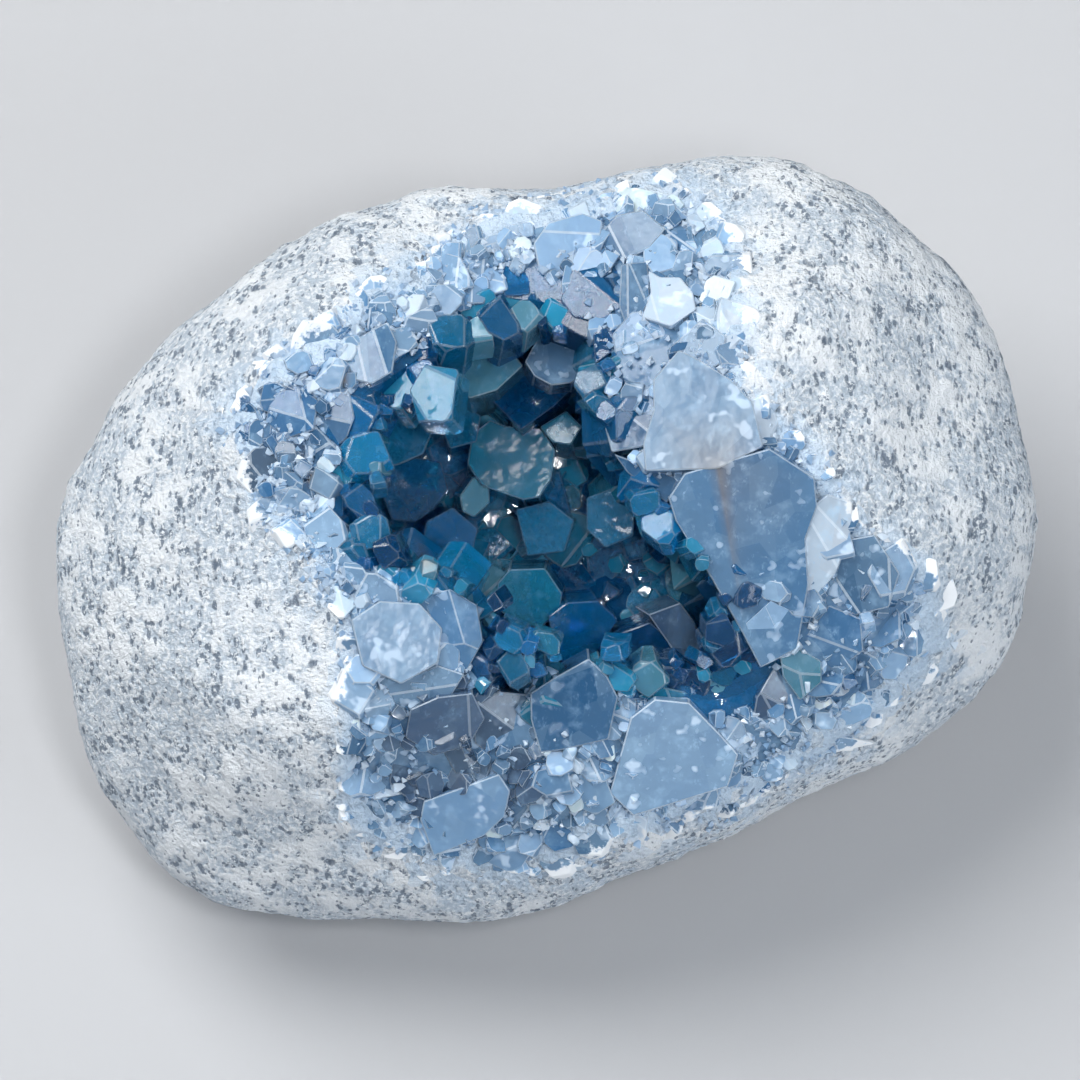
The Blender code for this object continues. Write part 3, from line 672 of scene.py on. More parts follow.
def combine(obj, operation, other):
    """A Boolean with the other object, which is used up."""
    modifier = obj.modifiers.new(operation.lower(), "BOOLEAN")
    modifier.operation = operation
    modifier.solver = "MANIFOLD"
    modifier.object = other
    select_only(obj)
    bpy.ops.object.modifier_apply(modifier=modifier.name)
    bpy.data.objects.remove(other)
    if not obj.data.polygons:
        raise RuntimeError(f"{obj.name} came to nothing after {operation.lower()}")


def moved(points, matrix):
    """The array of points, turned and shifted by the matrix."""
    matrix = np.array(matrix)
    return points @ matrix[:3, :3].T + matrix[:3, 3]


def ball_of_cells(name, cells):
    """A ball with even cells, as (object, directions of its points)."""
    bpy.ops.object.select_all(action="DESELECT")
    bpy.ops.mesh.primitive_cube_add(size=2)
    obj = bpy.context.object
    obj.name = name
    with all_in_edit_mode(obj):
        bpy.ops.mesh.subdivide(number_cuts=cells // 2 - 1)
        bpy.ops.mesh.subdivide(number_cuts=1)
    directions = np.tan(points_of(obj.data) * math.pi / 4)
    return obj, directions / np.linalg.norm(directions, axis=1)[:, None]


def sink(point):
    """How far the stone dips under the crystals at this point of its surface."""
    inside = -past_rind(point.x, point.y)
    facing = eased((point.z - SINK_FROM_MM) / SINK_OVER_MM)
    return eased(inside / SINK_WIDTH_MM) * facing * (broken_depth(point.x, point.y) + SINK_BELOW_MM)


def whole_stone(name, cells, sunk=False):
    """The nodule before it was broken open, in millimetres, and sunk where crystals will stand or not."""
    obj, directions = ball_of_cells(name, cells)
    points = [stone_point(Vector(direction)) for direction in directions]
    if sunk:
        points = [point * (1 - sink(point) / point.length) for point in points]
    obj.data.vertices.foreach_set("co", np.array(points, np.float32).ravel())
    return obj


def displaced(obj, name, size, layers, kind, height):
    """Raises and lowers the surface by procedural clouds with grains of this size, both in metres."""
    texture = bpy.data.textures.new(name, "CLOUDS")
    texture.noise_scale = size
    texture.noise_depth = layers
    texture.noise_type = kind
    modifier = obj.modifiers.new(name, "DISPLACE")
    modifier.texture = texture
    modifier.texture_coords = "LOCAL"
    modifier.strength = height
    select_only(obj)
    bpy.ops.object.modifier_apply(modifier=name)


def lay_flat(obj):
    """Wears the underside flat at the level of the floor."""
    points = points_of(obj.data)
    points[:, 2] = np.maximum(points[:, 2], 0.0)
    obj.data.vertices.foreach_set("co", points.astype(np.float32).ravel())


def in_mouth_frame(mesh):
    """The mesh's points in the opening's frame, in millimetres."""
    return moved(points_of(mesh), to_row_frame().inverted())


def mark(obj, name, values, domain="POINT"):
    """Writes a number for each point, or for each face."""
    attribute = obj.data.attributes.new(name, "FLOAT", domain)
    attribute.data.foreach_set("value", np.array(values, np.float32))


def mark_stains(obj, points):
    mark(obj, "stain", [stain_at(u, v) for u, v, _ in points])


def stain_at(u, v):
    return max(eased(1 - math.hypot(u - x, v - y) / reach) for x, y, reach in STAINS)


def crystal_form(rng, corners, shoulders, broken):
    """One crystal, a unit wide, hanging from the origin by its top, as taken() gives it."""
    bpy.ops.object.select_all(action="DESELECT")
    bpy.ops.mesh.primitive_cube_add(size=1, location=(0, 0, -0.5))
    obj = bpy.context.object
    obj.data.transform(obj.matrix_world)
    obj.matrix_world = Matrix()
    with_edge_slot(obj)
    with all_in_edit_mode(obj):
        for k in range(corners):
            side, reach = random_side(45 + 90 * k, CORNER_TURN_DEG, rng)
            cut_off(side * reach * rng.uniform(*CORNER_OUT), side + UP * rng.uniform(0, CORNER_LEAN))
        for k in range(shoulders):
            side, reach = random_side(360 / shoulders * k, SHOULDER_TURN_DEG, rng)
            slope = rng.uniform(*SHOULDER_SLOPES_DEG)
            cut_off(side * reach * rng.uniform(*SHOULDER_OUT), sloping(side, slope))
        for _ in range(broken):
            side = unit(rng.uniform(0, 360)).to_3d()
            slope = rng.uniform(*BROKEN_SLOPES_DEG)
            cut_off(UP * rng.uniform(*BROKEN_DOWN), sloping(side, slope))
        bpy.ops.mesh.select_all(action="SELECT")
        bpy.ops.mesh.remove_doubles(threshold=FORM_WELD)
        bpy.ops.mesh.bevel(offset=FORM_BEVEL, segments=1, affect="EDGES", material=1)
    return taken(obj)


def random_side(turn, spread, rng):
    """A level direction near this turn, and how far a square a unit wide reaches that way."""
    side = unit(turn + rng.uniform(-spread, spread)).to_3d()
    return side, (abs(side.x) + abs(side.y)) / 2


def sloping(side, slope, axis=UP):
    """The direction that faces out of a slope, in degrees, which falls from the axis towards this side."""
    return axis * math.cos(math.radians(slope)) + side * math.sin(math.radians(slope))


def cut_off(point, normal):
    bpy.ops.mesh.select_all(action="SELECT")
    bpy.ops.mesh.bisect(plane_co=point, plane_no=normal.normalized(), use_fill=True, clear_outer=True)


def with_edge_slot(obj):
    """Gives the object two empty material slots. The second one marks its bevelled edges."""
    obj.data.materials.append(None)
    obj.data.materials.append(None)


def taken(obj):
    """The object's points, faces and which faces are bevelled edges. The object is used up."""
    points = points_of(obj.data)
    faces = [tuple(face.vertices) for face in obj.data.polygons]
    edges = [face.material_index == 1 for face in obj.data.polygons]
    bpy.data.objects.remove(obj)
    return points, faces, edges


def crystal_forms(rng):
    """Forms that crystals grow in: blocky, chisel-ended and broken across."""
    blocky = [crystal_form(rng, rng.choice((3, 4)), rng.choice((3, 4, 5)), 0) for _ in range(BLOCKY_FORMS)]
    chisel = [crystal_form(rng, rng.choice((2, 4)), 6, 0) for _ in range(CHISEL_FORMS)]
    broken = [crystal_form(rng, rng.choice((3, 4)), rng.choice((2, 3)), 2) for _ in range(BROKEN_FORMS)]
    return {"grown": blocky + chisel, "broken": broken + blocky[:BLOCKY_AMONG_BROKEN]}


class Crystal:
    """One crystal to be built: where it stands, and its points, faces and finish, in the opening's frame."""

    def __init__(self, shape, matrix, finish, rng):
        points, self.faces, self.edges = shape
        self.points = moved(points, matrix)
        self.low = self.points.min(axis=0)
        self.high = self.points.max(axis=0)
        body, cloud, rough = FINISHES[finish]
        shade = math.exp(rng.uniform(-SHADE_SPREAD, SHADE_SPREAD))
        self.body = [min(part * shade, PALEST) for part in body]
        self.cloud = min(max(cloud + rng.uniform(-CLOUD_SPREAD, CLOUD_SPREAD), 0), 1)
        self.rough = rough * rng.uniform(*ROUGH_SPREAD)

    def meets(self, other):
        return bool((self.low < other.high).all() and (other.low < self.high).all())


def grown_together(name, crystals):
    """One solid from all the crystals, with each one's finish on its faces."""
    groups = []
    for crystal in crystals:
        for group in groups:
            if not any(crystal.meets(other) for other in group):
                group.append(crystal)
                break
        else:
            groups.append([crystal])
    objects = [loose_crystals(f"{name}_{k}", group) for k, group in enumerate(groups)]
    while len(objects) > 1:
        objects.sort(key=lambda obj: -len(obj.data.polygons))
        combine(objects[-2], "UNION", objects[-1])
        objects.pop()
    objects[0].name = name
    return objects[0]


def loose_crystals(name, crystals):
    """A mesh object of crystals that don't touch one another."""
    points, faces, body, edge, finish = [], [], [], [], []
    for crystal in crystals:
        first = len(points)
        points += list(crystal.points)
        faces += [tuple(first + k for k in face) for face in crystal.faces]
        body += (crystal.body + [1.0]) * len(crystal.faces)
        edge += crystal.edges
        finish += [crystal.cloud, crystal.rough, 0.0, 1.0] * len(crystal.faces)
    obj = mesh_object(name, points, faces)
    colour_faces(obj, "body", body)
    colour_faces(obj, "finish", finish)
    mark(obj, "edge", edge, "FACE")
    return obj


def colour_faces(obj, name, values):
    attribute = obj.data.attributes.new(name, "FLOAT_COLOR", "FACE")
    attribute.data.foreach_set("color", np.array(values, np.float32))


def finish_body(obj):
    """Gives the layer under the crystals the rim's finish outside the mouth and the hollow's inside it."""
    body, finish = [], []
    centres = np.array([face.center for face in obj.data.polygons])
    for u, v, _ in moved(centres, to_row_frame().inverted()):
        look = "grey_blue" if rim_share(u, v) > HOLLOW_LOOK_UP_TO else "deep_clear"
        tone, cloud, rough = FINISHES[look]
        body += [*tone, 1.0]
        finish += [cloud, rough, 0.0, 1.0]
    colour_faces(obj, "body", body)
    colour_faces(obj, "finish", finish)
    mark(obj, "edge", [0.0] * len(centres), "FACE")


def from_picture(points):
    """Points of the picture as points (u, v) of the opening's frame."""
    left, top = PICTURE_MIDDLE
    return [((x - left) * PICTURE_STEP_MM, -((y - top) * PICTURE_STEP_MM)) for x, y in points]


def standing_crystal(surface, row, on_rim, rng):
    """A crystal from the outline of its top, broken across or with a bright rim round a flat face."""
    picture, w, (right, up), finish, depth = row
    outline = from_picture(picture)
    middle = sum((Vector(point) for point in outline), Vector((0, 0))) / len(outline)
    if on_rim:
        w += surface.broken_height(*middle)
        right += slope_of(surface, *middle, 1, 0)
        up += slope_of(surface, *middle, 0, 1)
    top = []
    for point in outline:
        aside = Vector(point) - middle
        top.append(Vector((*point, w + right * aside.x + up * aside.y)))
    too_high = max(point.z - surface.height(point.x, point.y) - MOST_PROUD_MM for point in top)
    if too_high > 0:
        w -= too_high
        top = [point - UP * too_high for point in top]
    axis = Vector((-right, -up, 1)).normalized()
    grown = (axis + UP * SIDES_UPRIGHT).normalized()
    bottom = [point - grown * depth + (Vector(point.xy) - middle).to_3d() * FOOT_WIDENS for point in top]
    narrow = min(max(p[k] for p in top) - min(p[k] for p in top) for k in (0, 1))
    breaks = broken_planes(Vector((*middle, w)), axis, narrow, rng) if on_rim else []
    if narrow > LEAST_WHOLE_MM:
        breaks = []
    crystal = Crystal(finished_prism(top, bottom, narrow, breaks), Matrix(), finish, rng)
    crystal.outline, crystal.top = outline, w
    return crystal


def broken_planes(middle, axis, narrow, rng):
    """The planes that a crystal breaks along, as (point, direction out of it). Its top has this middle."""
    planes = []
    for k in range(BREAKS):
        side = unit(rng.uniform(0, BREAK_TURN_DEG) + 360 * k / BREAKS).to_3d()
        slope = rng.uniform(*BREAK_SLOPES_DEG)
        planes.append((middle + side * narrow * rng.uniform(*BREAK_OUT), sloping(side, slope, axis)))
    return planes


def finished_prism(top, bottom, narrow, breaks):
    """A prism with its edges bevelled, broken along these planes or else with a rim round its top."""
    count = len(top)
    faces = [tuple(range(count)), tuple(reversed(range(count, 2 * count)))]
    faces += [(k, count + k, count + (k + 1) % count, (k + 1) % count) for k in range(count)]
    obj = mesh_object("standing", top + bottom, faces, Matrix())
    with_edge_slot(obj)
    for face in obj.data.polygons:
        face.select = face.index == 0
    bpy.ops.object.mode_set(mode="EDIT")
    bpy.ops.mesh.select_mode(type="FACE")
    if breaks:
        bpy.ops.mesh.select_mode(type="VERT")
        for point, normal in breaks:
            cut_off(point, normal)
    else:
        width, rise = STANDING_RIM_MM
        rise *= min(1, narrow / FULL_RIM_MM)
        bpy.ops.mesh.inset(thickness=min(width, narrow * MOST_RIM), depth=rise)
    bpy.ops.mesh.select_all(action="SELECT")
    bpy.ops.mesh.bevel(offset=STANDING_BEVEL_MM, segments=1, affect="EDGES", material=1, clamp_overlap=True)
    bpy.ops.mesh.select_mode(type="VERT")
    bpy.ops.object.mode_set(mode="OBJECT")
    return taken(obj)


def slope_of(surface, u, v, along_u, along_v):
    """How fast a crystal here rises in this direction, to follow the broken surface."""
    step_u, step_v = SLOPE_REACH_MM * along_u, SLOPE_REACH_MM * along_v
    ahead = surface.broken_height(u + step_u, v + step_v)
    return SLOPE_SHARE * (ahead - surface.broken_height(u - step_u, v - step_v)) / (2 * SLOPE_REACH_MM)


def leaning(axis, towards, angle):
    """The axis, leaned by this angle towards this direction of the opening's frame."""
    return (axis + (unit(towards) * math.tan(math.radians(angle))).to_3d()).normalized()


def placed_crystal(forms, mix, top, axis, width, root, rng):
    """A crystal of one of these forms and finishes, with its top here, and its root this far down."""
    form = rng.choice(forms)
    finish = rng.choice(mix)
    lean = UP.rotation_difference(axis).to_matrix().to_4x4()
    roll = Matrix.Rotation(math.radians(rng.uniform(0, 180)), 4, "Z")
    size = Matrix.Diagonal((width, width * rng.uniform(*NARROWER), root + width / 2, 1))
    return Crystal(form, Matrix.Translation(top) @ lean @ roll @ size, finish, rng)


def covers(standing, u, v, top, margin):
    """True if a crystal here would hide one of those that stand out."""
    return any(
        crystal.low[0] - margin < u < crystal.high[0] + margin
        and crystal.low[1] - margin < v < crystal.high[1] + margin
        and top > crystal.top - HIDES_FROM_MM
        and within(crystal.outline, u, v, margin)
        for crystal in standing
    )


def within(outline, u, v, margin):
    """True if the point lies in the convex outline, or nearer to it than the margin."""
    signs = []
    for (x0, y0), (x1, y1) in zip(outline, outline[1:] + outline[:1]):
        reach = math.hypot(x1 - x0, y1 - y0)
        signs.append(((x1 - x0) * (v - y0) - (y1 - y0) * (u - x0)) / reach)
    turn = 1 if sum(signs) > 0 else -1
    return min(turn * sign for sign in signs) > -margin


def rim_mix(place):
    """The finishes that crystals have at this place on the rim."""
    for u, v, reach, finishes in DARKER_PLACES:
        if math.hypot(place.x - u, place.y - v) < reach:
            return finishes
    return RIM_MIX


def crowded(place, others, apart):
    return any((place - other).length < apart for other in others)


def rim_crystals(surface, forms, standing, rng):
    """Broken crystals between the mouth and the rind, large ones first."""
    made, taken_places = [], []
    for tries, apart, widths, rises, lean, root in RIM_LAYERS:
        for _ in range(tries):
            turn = rng.uniform(0, 360)
            mouth, edge = around(MOUTH_MM, turn), around(RIND_EDGE_MM, turn)
            place = mouth_point(math.sqrt(rng.uniform(mouth**2, (edge + RIM_TRIED_MM) ** 2)), turn)
            if past_rind(*place) > RIM_KEPT_MM or crowded(place, taken_places, apart):
                continue
            width = rng.uniform(*widths)
            top = Vector((*place, surface.broken_height(*place) + rng.uniform(*rises)))
            if covers(standing, *top, width * RIM_NEARS):
                continue
            taken_places.append(place)
            upright = (surface.normal(*place) * RIM_FOLLOWS + UP).normalized()
            axis = leaning(upright, rng.uniform(0, 360), rng.uniform(0, lean))
            made.append(placed_crystal(forms["broken"], rim_mix(place), top, axis, width, root, rng))
    return made


def lining_crystals(surface, forms, standing, rng):
    """Crystals that grew from the walls and the floor of the hollow, large ones first."""
    made, taken_places = [], []
    for tries, apart, widths, reaches, lean, root in LINING_LAYERS:
        for _ in range(tries):
            turn = rng.uniform(0, 360)
            down = min(max(1 - rng.uniform(DOWN_FROM, 1) ** DOWN_BEND, DOWN_MIN), DOWN_MAX)
            point = hollow_point(surface, turn, down)
            if down > FLOOR_FROM:
                place = mouth_point(mouth_polar(point.x, point.y)[0] * math.sqrt(rng.uniform(0, 1)), turn)
                point = Vector((*place, HOLLOW_FLOOR_MM + rng.uniform(0, FLOOR_RISE_MM)))
            if crowded(point, taken_places, apart):
                continue
            inwards = away_from_wall(surface, point, turn, down)
            axis = leaning(inwards, rng.uniform(0, 360), rng.uniform(0, lean))
            width = rng.uniform(*widths)
            top = point + axis * rng.uniform(*reaches)
            stands_out = top.z + width / 4 > surface.height(top.x, top.y)
            if stands_out or covers(standing, *top, width * LINING_NEARS):
                continue
            taken_places.append(point)
            made.append(placed_crystal(forms["grown"], LINING_MIX, top, axis, width, root, rng))
    return made


def away_from_wall(surface, point, turn, down):
    """The way that a crystal grows at this point of the hollow: off the wall and up, or up off the floor."""
    if down > FLOOR_FROM:
        return UP
    after = hollow_point(surface, turn + WALL_TURN_DEG, down)
    before = hollow_point(surface, turn - WALL_TURN_DEG, down)
    below = hollow_point(surface, turn, down + WALL_STEP)
    off_wall = (below - point).cross(after - before).normalized()
    return (off_wall + UP * WALL_TURNS_UP).normalized()


def chip_of(rng, place, normal, size):
    """The points of a splinter, half sunk at this place: its four corners, its tip and its root."""
    leant = leaning(normal, rng.uniform(0, 360), rng.uniform(0, CHIP_LEAN_DEG))
    lean = UP.rotation_difference(leant).to_matrix()
    spread = CHIP_TURN_DEG
    corners = [unit(90 * k + rng.uniform(-spread, spread)) * rng.uniform(*CHIP_OUT) for k in range(4)]
    points = [Vector((*corner, rng.uniform(*CHIP_CORNER_RISE))) for corner in corners]
    aside = [rng.uniform(-CHIP_TIP_ASIDE, CHIP_TIP_ASIDE) for _ in range(2)]
    points += [Vector((*aside, rng.uniform(*CHIP_TIP_RISE))), Vector(CHIP_ROOT)]
    return [place + lean @ point * size for point in points]


def chips(name, surface, rng):
    """Small white splinters strewn over the broken rim and the rind's edge."""
    points, faces, tone = [], [], []
    dense_from, dense_over = CHIP_DENSER_MM
    while len(faces) < CHIP_COUNT * len(CHIP_SIDES):
        turn = rng.uniform(0, 360)
        edge, mouth = around(RIND_EDGE_MM, turn), around(MOUTH_MM, turn)
        place = mouth_point(rng.uniform(mouth - 1, edge + CHIP_REACH_MM), turn)
        past = past_rind(*place)
        dense = eased((past - dense_from) / dense_over) * (1 - CHIP_LEAST) + CHIP_LEAST
        if rng.random() > dense or past > CHIP_REACH_MM * rng.random():
            continue
        w = surface.broken_height(*place) if past < 0 else surface.height(*place) - CHIP_SUNK_MM
        start = len(points)
        size = rng.uniform(*CHIP_MM)
        at = Vector((*place, w + size * CHIP_RAISED))
        points += chip_of(rng, at, surface.normal(*place), size)
        faces += [tuple(start + k for k in side) for side in CHIP_SIDES]
        tone += [rng.random()] * len(CHIP_SIDES)
    obj = mesh_object(name, points, faces)
    mark(obj, "tone", tone, "FACE")
    return obj


class Nodes:
    """Builds a material's node tree, a node at a time. In names of inputs, _ stands for a space."""

    def __init__(self, name):
        self.material = bpy.data.materials.new(name)
        self.material.use_nodes = True
        self.tree = self.material.node_tree
        self.shader = self.tree.nodes["Principled BSDF"]
        self.output = self.tree.nodes["Material Output"]
        self.place = self.add("TexCoord").outputs["Object"]

    def add(self, kind, **values):
        """A node of this kind. Values set its properties, or else its inputs."""
        node = self.tree.nodes.new(f"ShaderNode{kind}")
        for key, value in values.items():
            if key in node.bl_rna.properties:
                setattr(node, key, value)
            else:
                self.feed(node.inputs[key.replace("_", " ")], value)
        return node

    def feed(self, socket, value):
        """Links another socket to this one, or sets it to a number or to a colour of three parts."""
        if isinstance(value, bpy.types.NodeSocket):
            self.tree.links.new(value, socket)
        elif socket.type == "RGBA":
            socket.default_value = (*value, 1)
        else:
            socket.default_value = value

    def surface(self, **inputs):
        for key, value in inputs.items():
            self.feed(self.shader.inputs[key.replace("_", " ")], value)

    def math(self, operation, a, b, clamp=False):
        node = self.add("Math", operation=operation, use_clamp=clamp)
        self.feed(node.inputs[0], a)
        self.feed(node.inputs[1], b)
        return node.outputs["Value"]

    def plus(self, a, b, clamp=False):
        return self.math("ADD", a, b, clamp)

    def less(self, a, b, clamp=False):
        return self.math("SUBTRACT", a, b, clamp)

    def times(self, a, b, clamp=False):
        return self.math("MULTIPLY", a, b, clamp)

    def ramp(self, value, low, high):
        """0 up to low, 1 from high on, eased between them. Low may be above high."""
        turned = low > high
        ends = {"From_Min": min(low, high), "From_Max": max(low, high)}
        ends |= {"To_Min": float(turned), "To_Max": float(not turned)}
        return self.add("MapRange", interpolation_type="SMOOTHSTEP", Value=value, **ends).outputs["Result"]

    def mix(self, factor, a, b):
        """Between two colours."""
        node = self.add("Mix", data_type="RGBA")
        for index, value in ((0, factor), (6, a), (7, b)):
            self.feed(node.inputs[index], value)
        return node.outputs[2]

    def blend(self, factor, a, b):
        """Between two numbers."""
        node = self.add("Mix", data_type="FLOAT")
        for index, value in ((0, factor), (2, a), (3, b)):
            self.feed(node.inputs[index], value)
        return node.outputs[0]

    def stretched(self, turn, stretch):
        """The place, turned about each axis in degrees and squeezed along X, Y and Z."""
        turned = tuple(math.radians(angle) for angle in turn)
        return self.add("Mapping", Vector=self.place, Rotation=turned, Scale=stretch).outputs["Vector"]

    def noise(self, size, detail, rough=0.5, place=None):
        """Noise with grains of this size, in millimetres."""
        values = {"Scale": 1 / (size * MM), "Detail": detail, "Roughness": rough}
        return self.add("TexNoise", Vector=place or self.place, **values).outputs["Fac"]

    def cells(self, size, turn, stretch, output="Distance"):
        """Turned and squeezed cells of this size, in millimetres: distance to their middles, or colours."""
        place = self.stretched(turn, stretch)
        return self.add("TexVoronoi", Vector=place, Scale=1 / (size * MM)).outputs[output]

    def part(self, colour, channel):
        return self.add("SeparateColor", Color=colour).outputs[channel]

    def attribute(self, name, output="Fac"):
        return self.add("Attribute", attribute_name=name).outputs[output]

    def bump(self, height, depth):
        """A bump of this depth, in millimetres."""
        return self.add("Bump", Height=height, Distance=depth * MM).outputs["Normal"]


def rind_look(nodes, stone):
    """The white rind's colour, roughness and height: grey clouds, thin dark specks and painted shade in
    pits.
    """
    clouds = nodes.noise(13, 2, 0.55)
    patches = nodes.noise(4.2, 3, 0.65)
    grains = nodes.noise(0.8, 3, 0.7)
    grey = nodes.plus(nodes.ramp(clouds, 0.58, 0.40), nodes.ramp(patches, 0.53, 0.42), clamp=True)
    grey = nodes.times(nodes.plus(grey, 0.12), nodes.ramp(grains, 0.66, 0.40), clamp=True)
    colour = nodes.mix(grey, stone.white, stone.grey)
    reach = nodes.plus(nodes.times(patches, -1.5), 1.08)
    thin = nodes.cells(0.95, (15, 10, 40), (1.0, 0.45, 0.7))
    speck = nodes.times(nodes.ramp(nodes.less(thin, reach), 0.05, -0.05), nodes.ramp(grains, 0.60, 0.46))
    colour = nodes.mix(nodes.times(speck, 0.8), colour, stone.speck)
    # Painted shade: pits darkened towards the speck colour, standing for the shade that falls in them.
    painted_pit_shade = nodes.ramp(nodes.cells(2.9, (0, 30, 70), (1.0, 0.6, 0.8)), 0.24, 0.12)
    painted_pit_shade = nodes.times(painted_pit_shade, nodes.ramp(patches, 0.56, 0.46))
    colour = nodes.mix(nodes.times(painted_pit_shade, 0.75), colour, stone.speck)
    height = nodes.plus(nodes.times(grains, 0.6), patches)
    return colour, nodes.blend(patches, 0.5, 0.9), height


def stone_material(stone):
    """The rind, with a blue tinge in shards near the crystals and a few brown stains."""
    nodes = Nodes("speckled_stone")
    colour, rough, height = rind_look(nodes, stone)
    near = nodes.attribute("near")
    shard = nodes.part(nodes.cells(2.6, (0, 0, 0), (1, 1, 1), "Color"), "Green")
    blue = nodes.times(near, nodes.ramp(nodes.plus(shard, near), 0.85, 1.25))
    colour = nodes.mix(nodes.times(blue, 0.8), colour, stone.near_crystals)
    colour = nodes.mix(nodes.times(nodes.attribute("stain"), 0.7), colour, stone.stain)
    nodes.surface(Base_Color=colour, Roughness=rough, Normal=nodes.bump(height, 1.4))
    return nodes.material


def crystal_material(name, crystal, stone):
    """Clear to milky crystal with veils, facets, chipped edges with a painted highlight, crushed spots and
    the rind's coat.
    """
    nodes = Nodes(name)
    finish = nodes.attribute("finish", "Color")
    cloud, rough = nodes.part(finish, "Red"), nodes.part(finish, "Green")
    veil = nodes.ramp(nodes.noise(3.0, 3, 0.6), 0.5, 0.75)
    wisps = nodes.ramp(nodes.noise(1.1, 4, 0.7, nodes.stretched((30, 50, 10), (1, 0.5, 0.8))), 0.56, 0.70)
    milk = nodes.plus(nodes.times(veil, 0.5), nodes.times(wisps, 0.5))
    milk = nodes.times(milk, nodes.blend(cloud, 0.12, 0.8))
    colour = nodes.mix(milk, nodes.attribute("body", "Color"), crystal.veil)
    facet = nodes.part(nodes.cells(4.2, (25, 40, 0), (1, 0.7, 0.85), "Color"), "Red")
    colour = nodes.mix(nodes.times(facet, nodes.blend(cloud, 0.0, 0.42)), colour, crystal.veil)
    # Bevelled edges lightened towards the frost colour: partly chipped frost, partly a painted highlight.
    edge = nodes.attribute("edge")
    colour = nodes.mix(nodes.times(edge, nodes.blend(cloud, 0.2, 0.85)), colour, crystal.frost_and_edge_highlight)
    crushed = nodes.times(nodes.ramp(nodes.noise(4.0, 2, 0.7), 0.59, 0.67), nodes.ramp(cloud, 0.45, 0.7))
    colour = nodes.mix(nodes.times(crushed, 0.5), colour, crystal.frost_and_edge_highlight)
    patchy = nodes.noise(1.7, 3, 0.65)
    coat = nodes.ramp(nodes.plus(nodes.attribute("rind"), patchy), 0.93, 1.07)
    colour = nodes.mix(coat, colour, nodes.mix(nodes.ramp(patchy, 0.36, 0.28), stone.white, stone.grey))
    colour = nodes.mix(nodes.times(nodes.attribute("stain"), 0.75), colour, stone.stain)
    rough = nodes.plus(rough, nodes.times(edge, 0.15))
    rough = nodes.blend(nodes.math("MAXIMUM", coat, crushed), rough, 0.55)
    clear = nodes.less(CLEARNESS, nodes.times(cloud, 0.6))
    clear = nodes.less(clear, nodes.times(milk, 0.4))
    clear = nodes.less(clear, nodes.times(crushed, 0.3))
    clear = nodes.less(clear, nodes.times(coat, 0.6), clamp=True)
    chips = nodes.cells(3.2, (10, 20, 40), (1, 0.6, 0.8))
    chips = nodes.times(chips, nodes.blend(cloud, 0.05, 0.3))
    height = nodes.plus(nodes.times(nodes.noise(3.4, 2), 0.6), chips)
    nodes.surface(Base_Color=colour, Roughness=rough, Normal=nodes.bump(height, 0.4))
    nodes.surface(Transmission_Weight=clear, IOR=crystal.refraction, Specular_IOR_Level=0.3)
    inside = nodes.add("VolumeAbsorption", Color=crystal.deep_absorbs, Density=crystal.deep_density)
    nodes.feed(nodes.output.inputs["Volume"], inside.outputs["Volume"])
    return nodes.material


def chip_material(crystal):
    nodes = Nodes("splinters")
    colour = nodes.mix(nodes.attribute("tone"), FINISHES["pale_blue"][0], crystal.frost_and_edge_highlight)
    nodes.surface(Base_Color=colour, Roughness=0.3, Transmission_Weight=0.25, IOR=crystal.refraction)
    return nodes.material


def finish_piece(obj, material, slot, *nodes):
    """Gives a piece its material, and ties it to the part that it stands for."""
    obj.data.materials.clear()
    obj.data.materials.append(material)
    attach(obj, "root")
    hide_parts(*nodes)


def surface_of_stone():
    """The whole stone's surface to measure from."""
    coarse = whole_stone("coarse", COARSE_CELLS)
    points = [vertex.co.copy() for vertex in coarse.data.vertices]
    faces = [tuple(face.vertices) for face in coarse.data.polygons]
    bpy.data.objects.remove(coarse)
    return Surface(points, faces)


def crust_body(surface):
    """The layer that the crystals grew from: the broken stone less the hollow."""
    body = whole_stone("crust_body", COARSE_CELLS)
    for vertex in body.data.vertices:
        vertex.co = broken_point(vertex.co.copy(), CRUST_BELOW_MM)
    body.data.transform(to_row_frame())
    combine(body, "DIFFERENCE", loft("hollow", hollow_rings(surface, *CRUST_CLEAR_MM)))
    combine(body, "INTERSECT", loft("limit", crust_limit_rings(surface)))
    return body


def mark_rim(obj):
    """Writes how much rind coats each point of the crystals, and where they are stained."""
    points = in_mouth_frame(obj.data)
    rind = []
    for u, v, _ in points:
        outside = eased((past_rind(u, v) - COAT_FROM_MM) / COAT_OVER_MM)
        rind.append(COAT_OUTSIDE * outside + COAT_ON_RIM * eased(rim_share(u, v) * 2))
    mark(obj, "rind", rind)
    mark_stains(obj, points)


def blue_tinge(u, v, w):
    return math.exp(-max(past_rind(u, v), 0) / TINGE_FADES_MM) if w > TINGE_ABOVE_MM else 0


class GEODE_OT_stone(bpy.types.Operator):
    """Builds the tumbled nodule, hollowed out, with its relief"""

    bl_idname = "geode.stone"
    bl_label = "Stone"

    def execute(self, context):
        settings = context.scene.geode_stone
        stone = whole_stone("nodule", settings.cells, sunk=True)
        stone.data.transform(to_row_frame())
        for name, size, layers, kind in RELIEF:
            displaced(stone, name, size, layers, kind, getattr(settings, name))
        lay_flat(stone)
        combine(stone, "DIFFERENCE", loft("bowl", hollow_rings(surface_of_stone(), *STONE_CLEAR_MM)))
        select_only(stone)
        bpy.ops.object.shade_smooth()
        points = in_mouth_frame(stone.data)
        mark(stone, "near", [blue_tinge(*point) for point in points])
        mark_stains(stone, points)
        finish_piece(stone, stone_material(settings), "stone", "stone_shell")
        return {"FINISHED"}


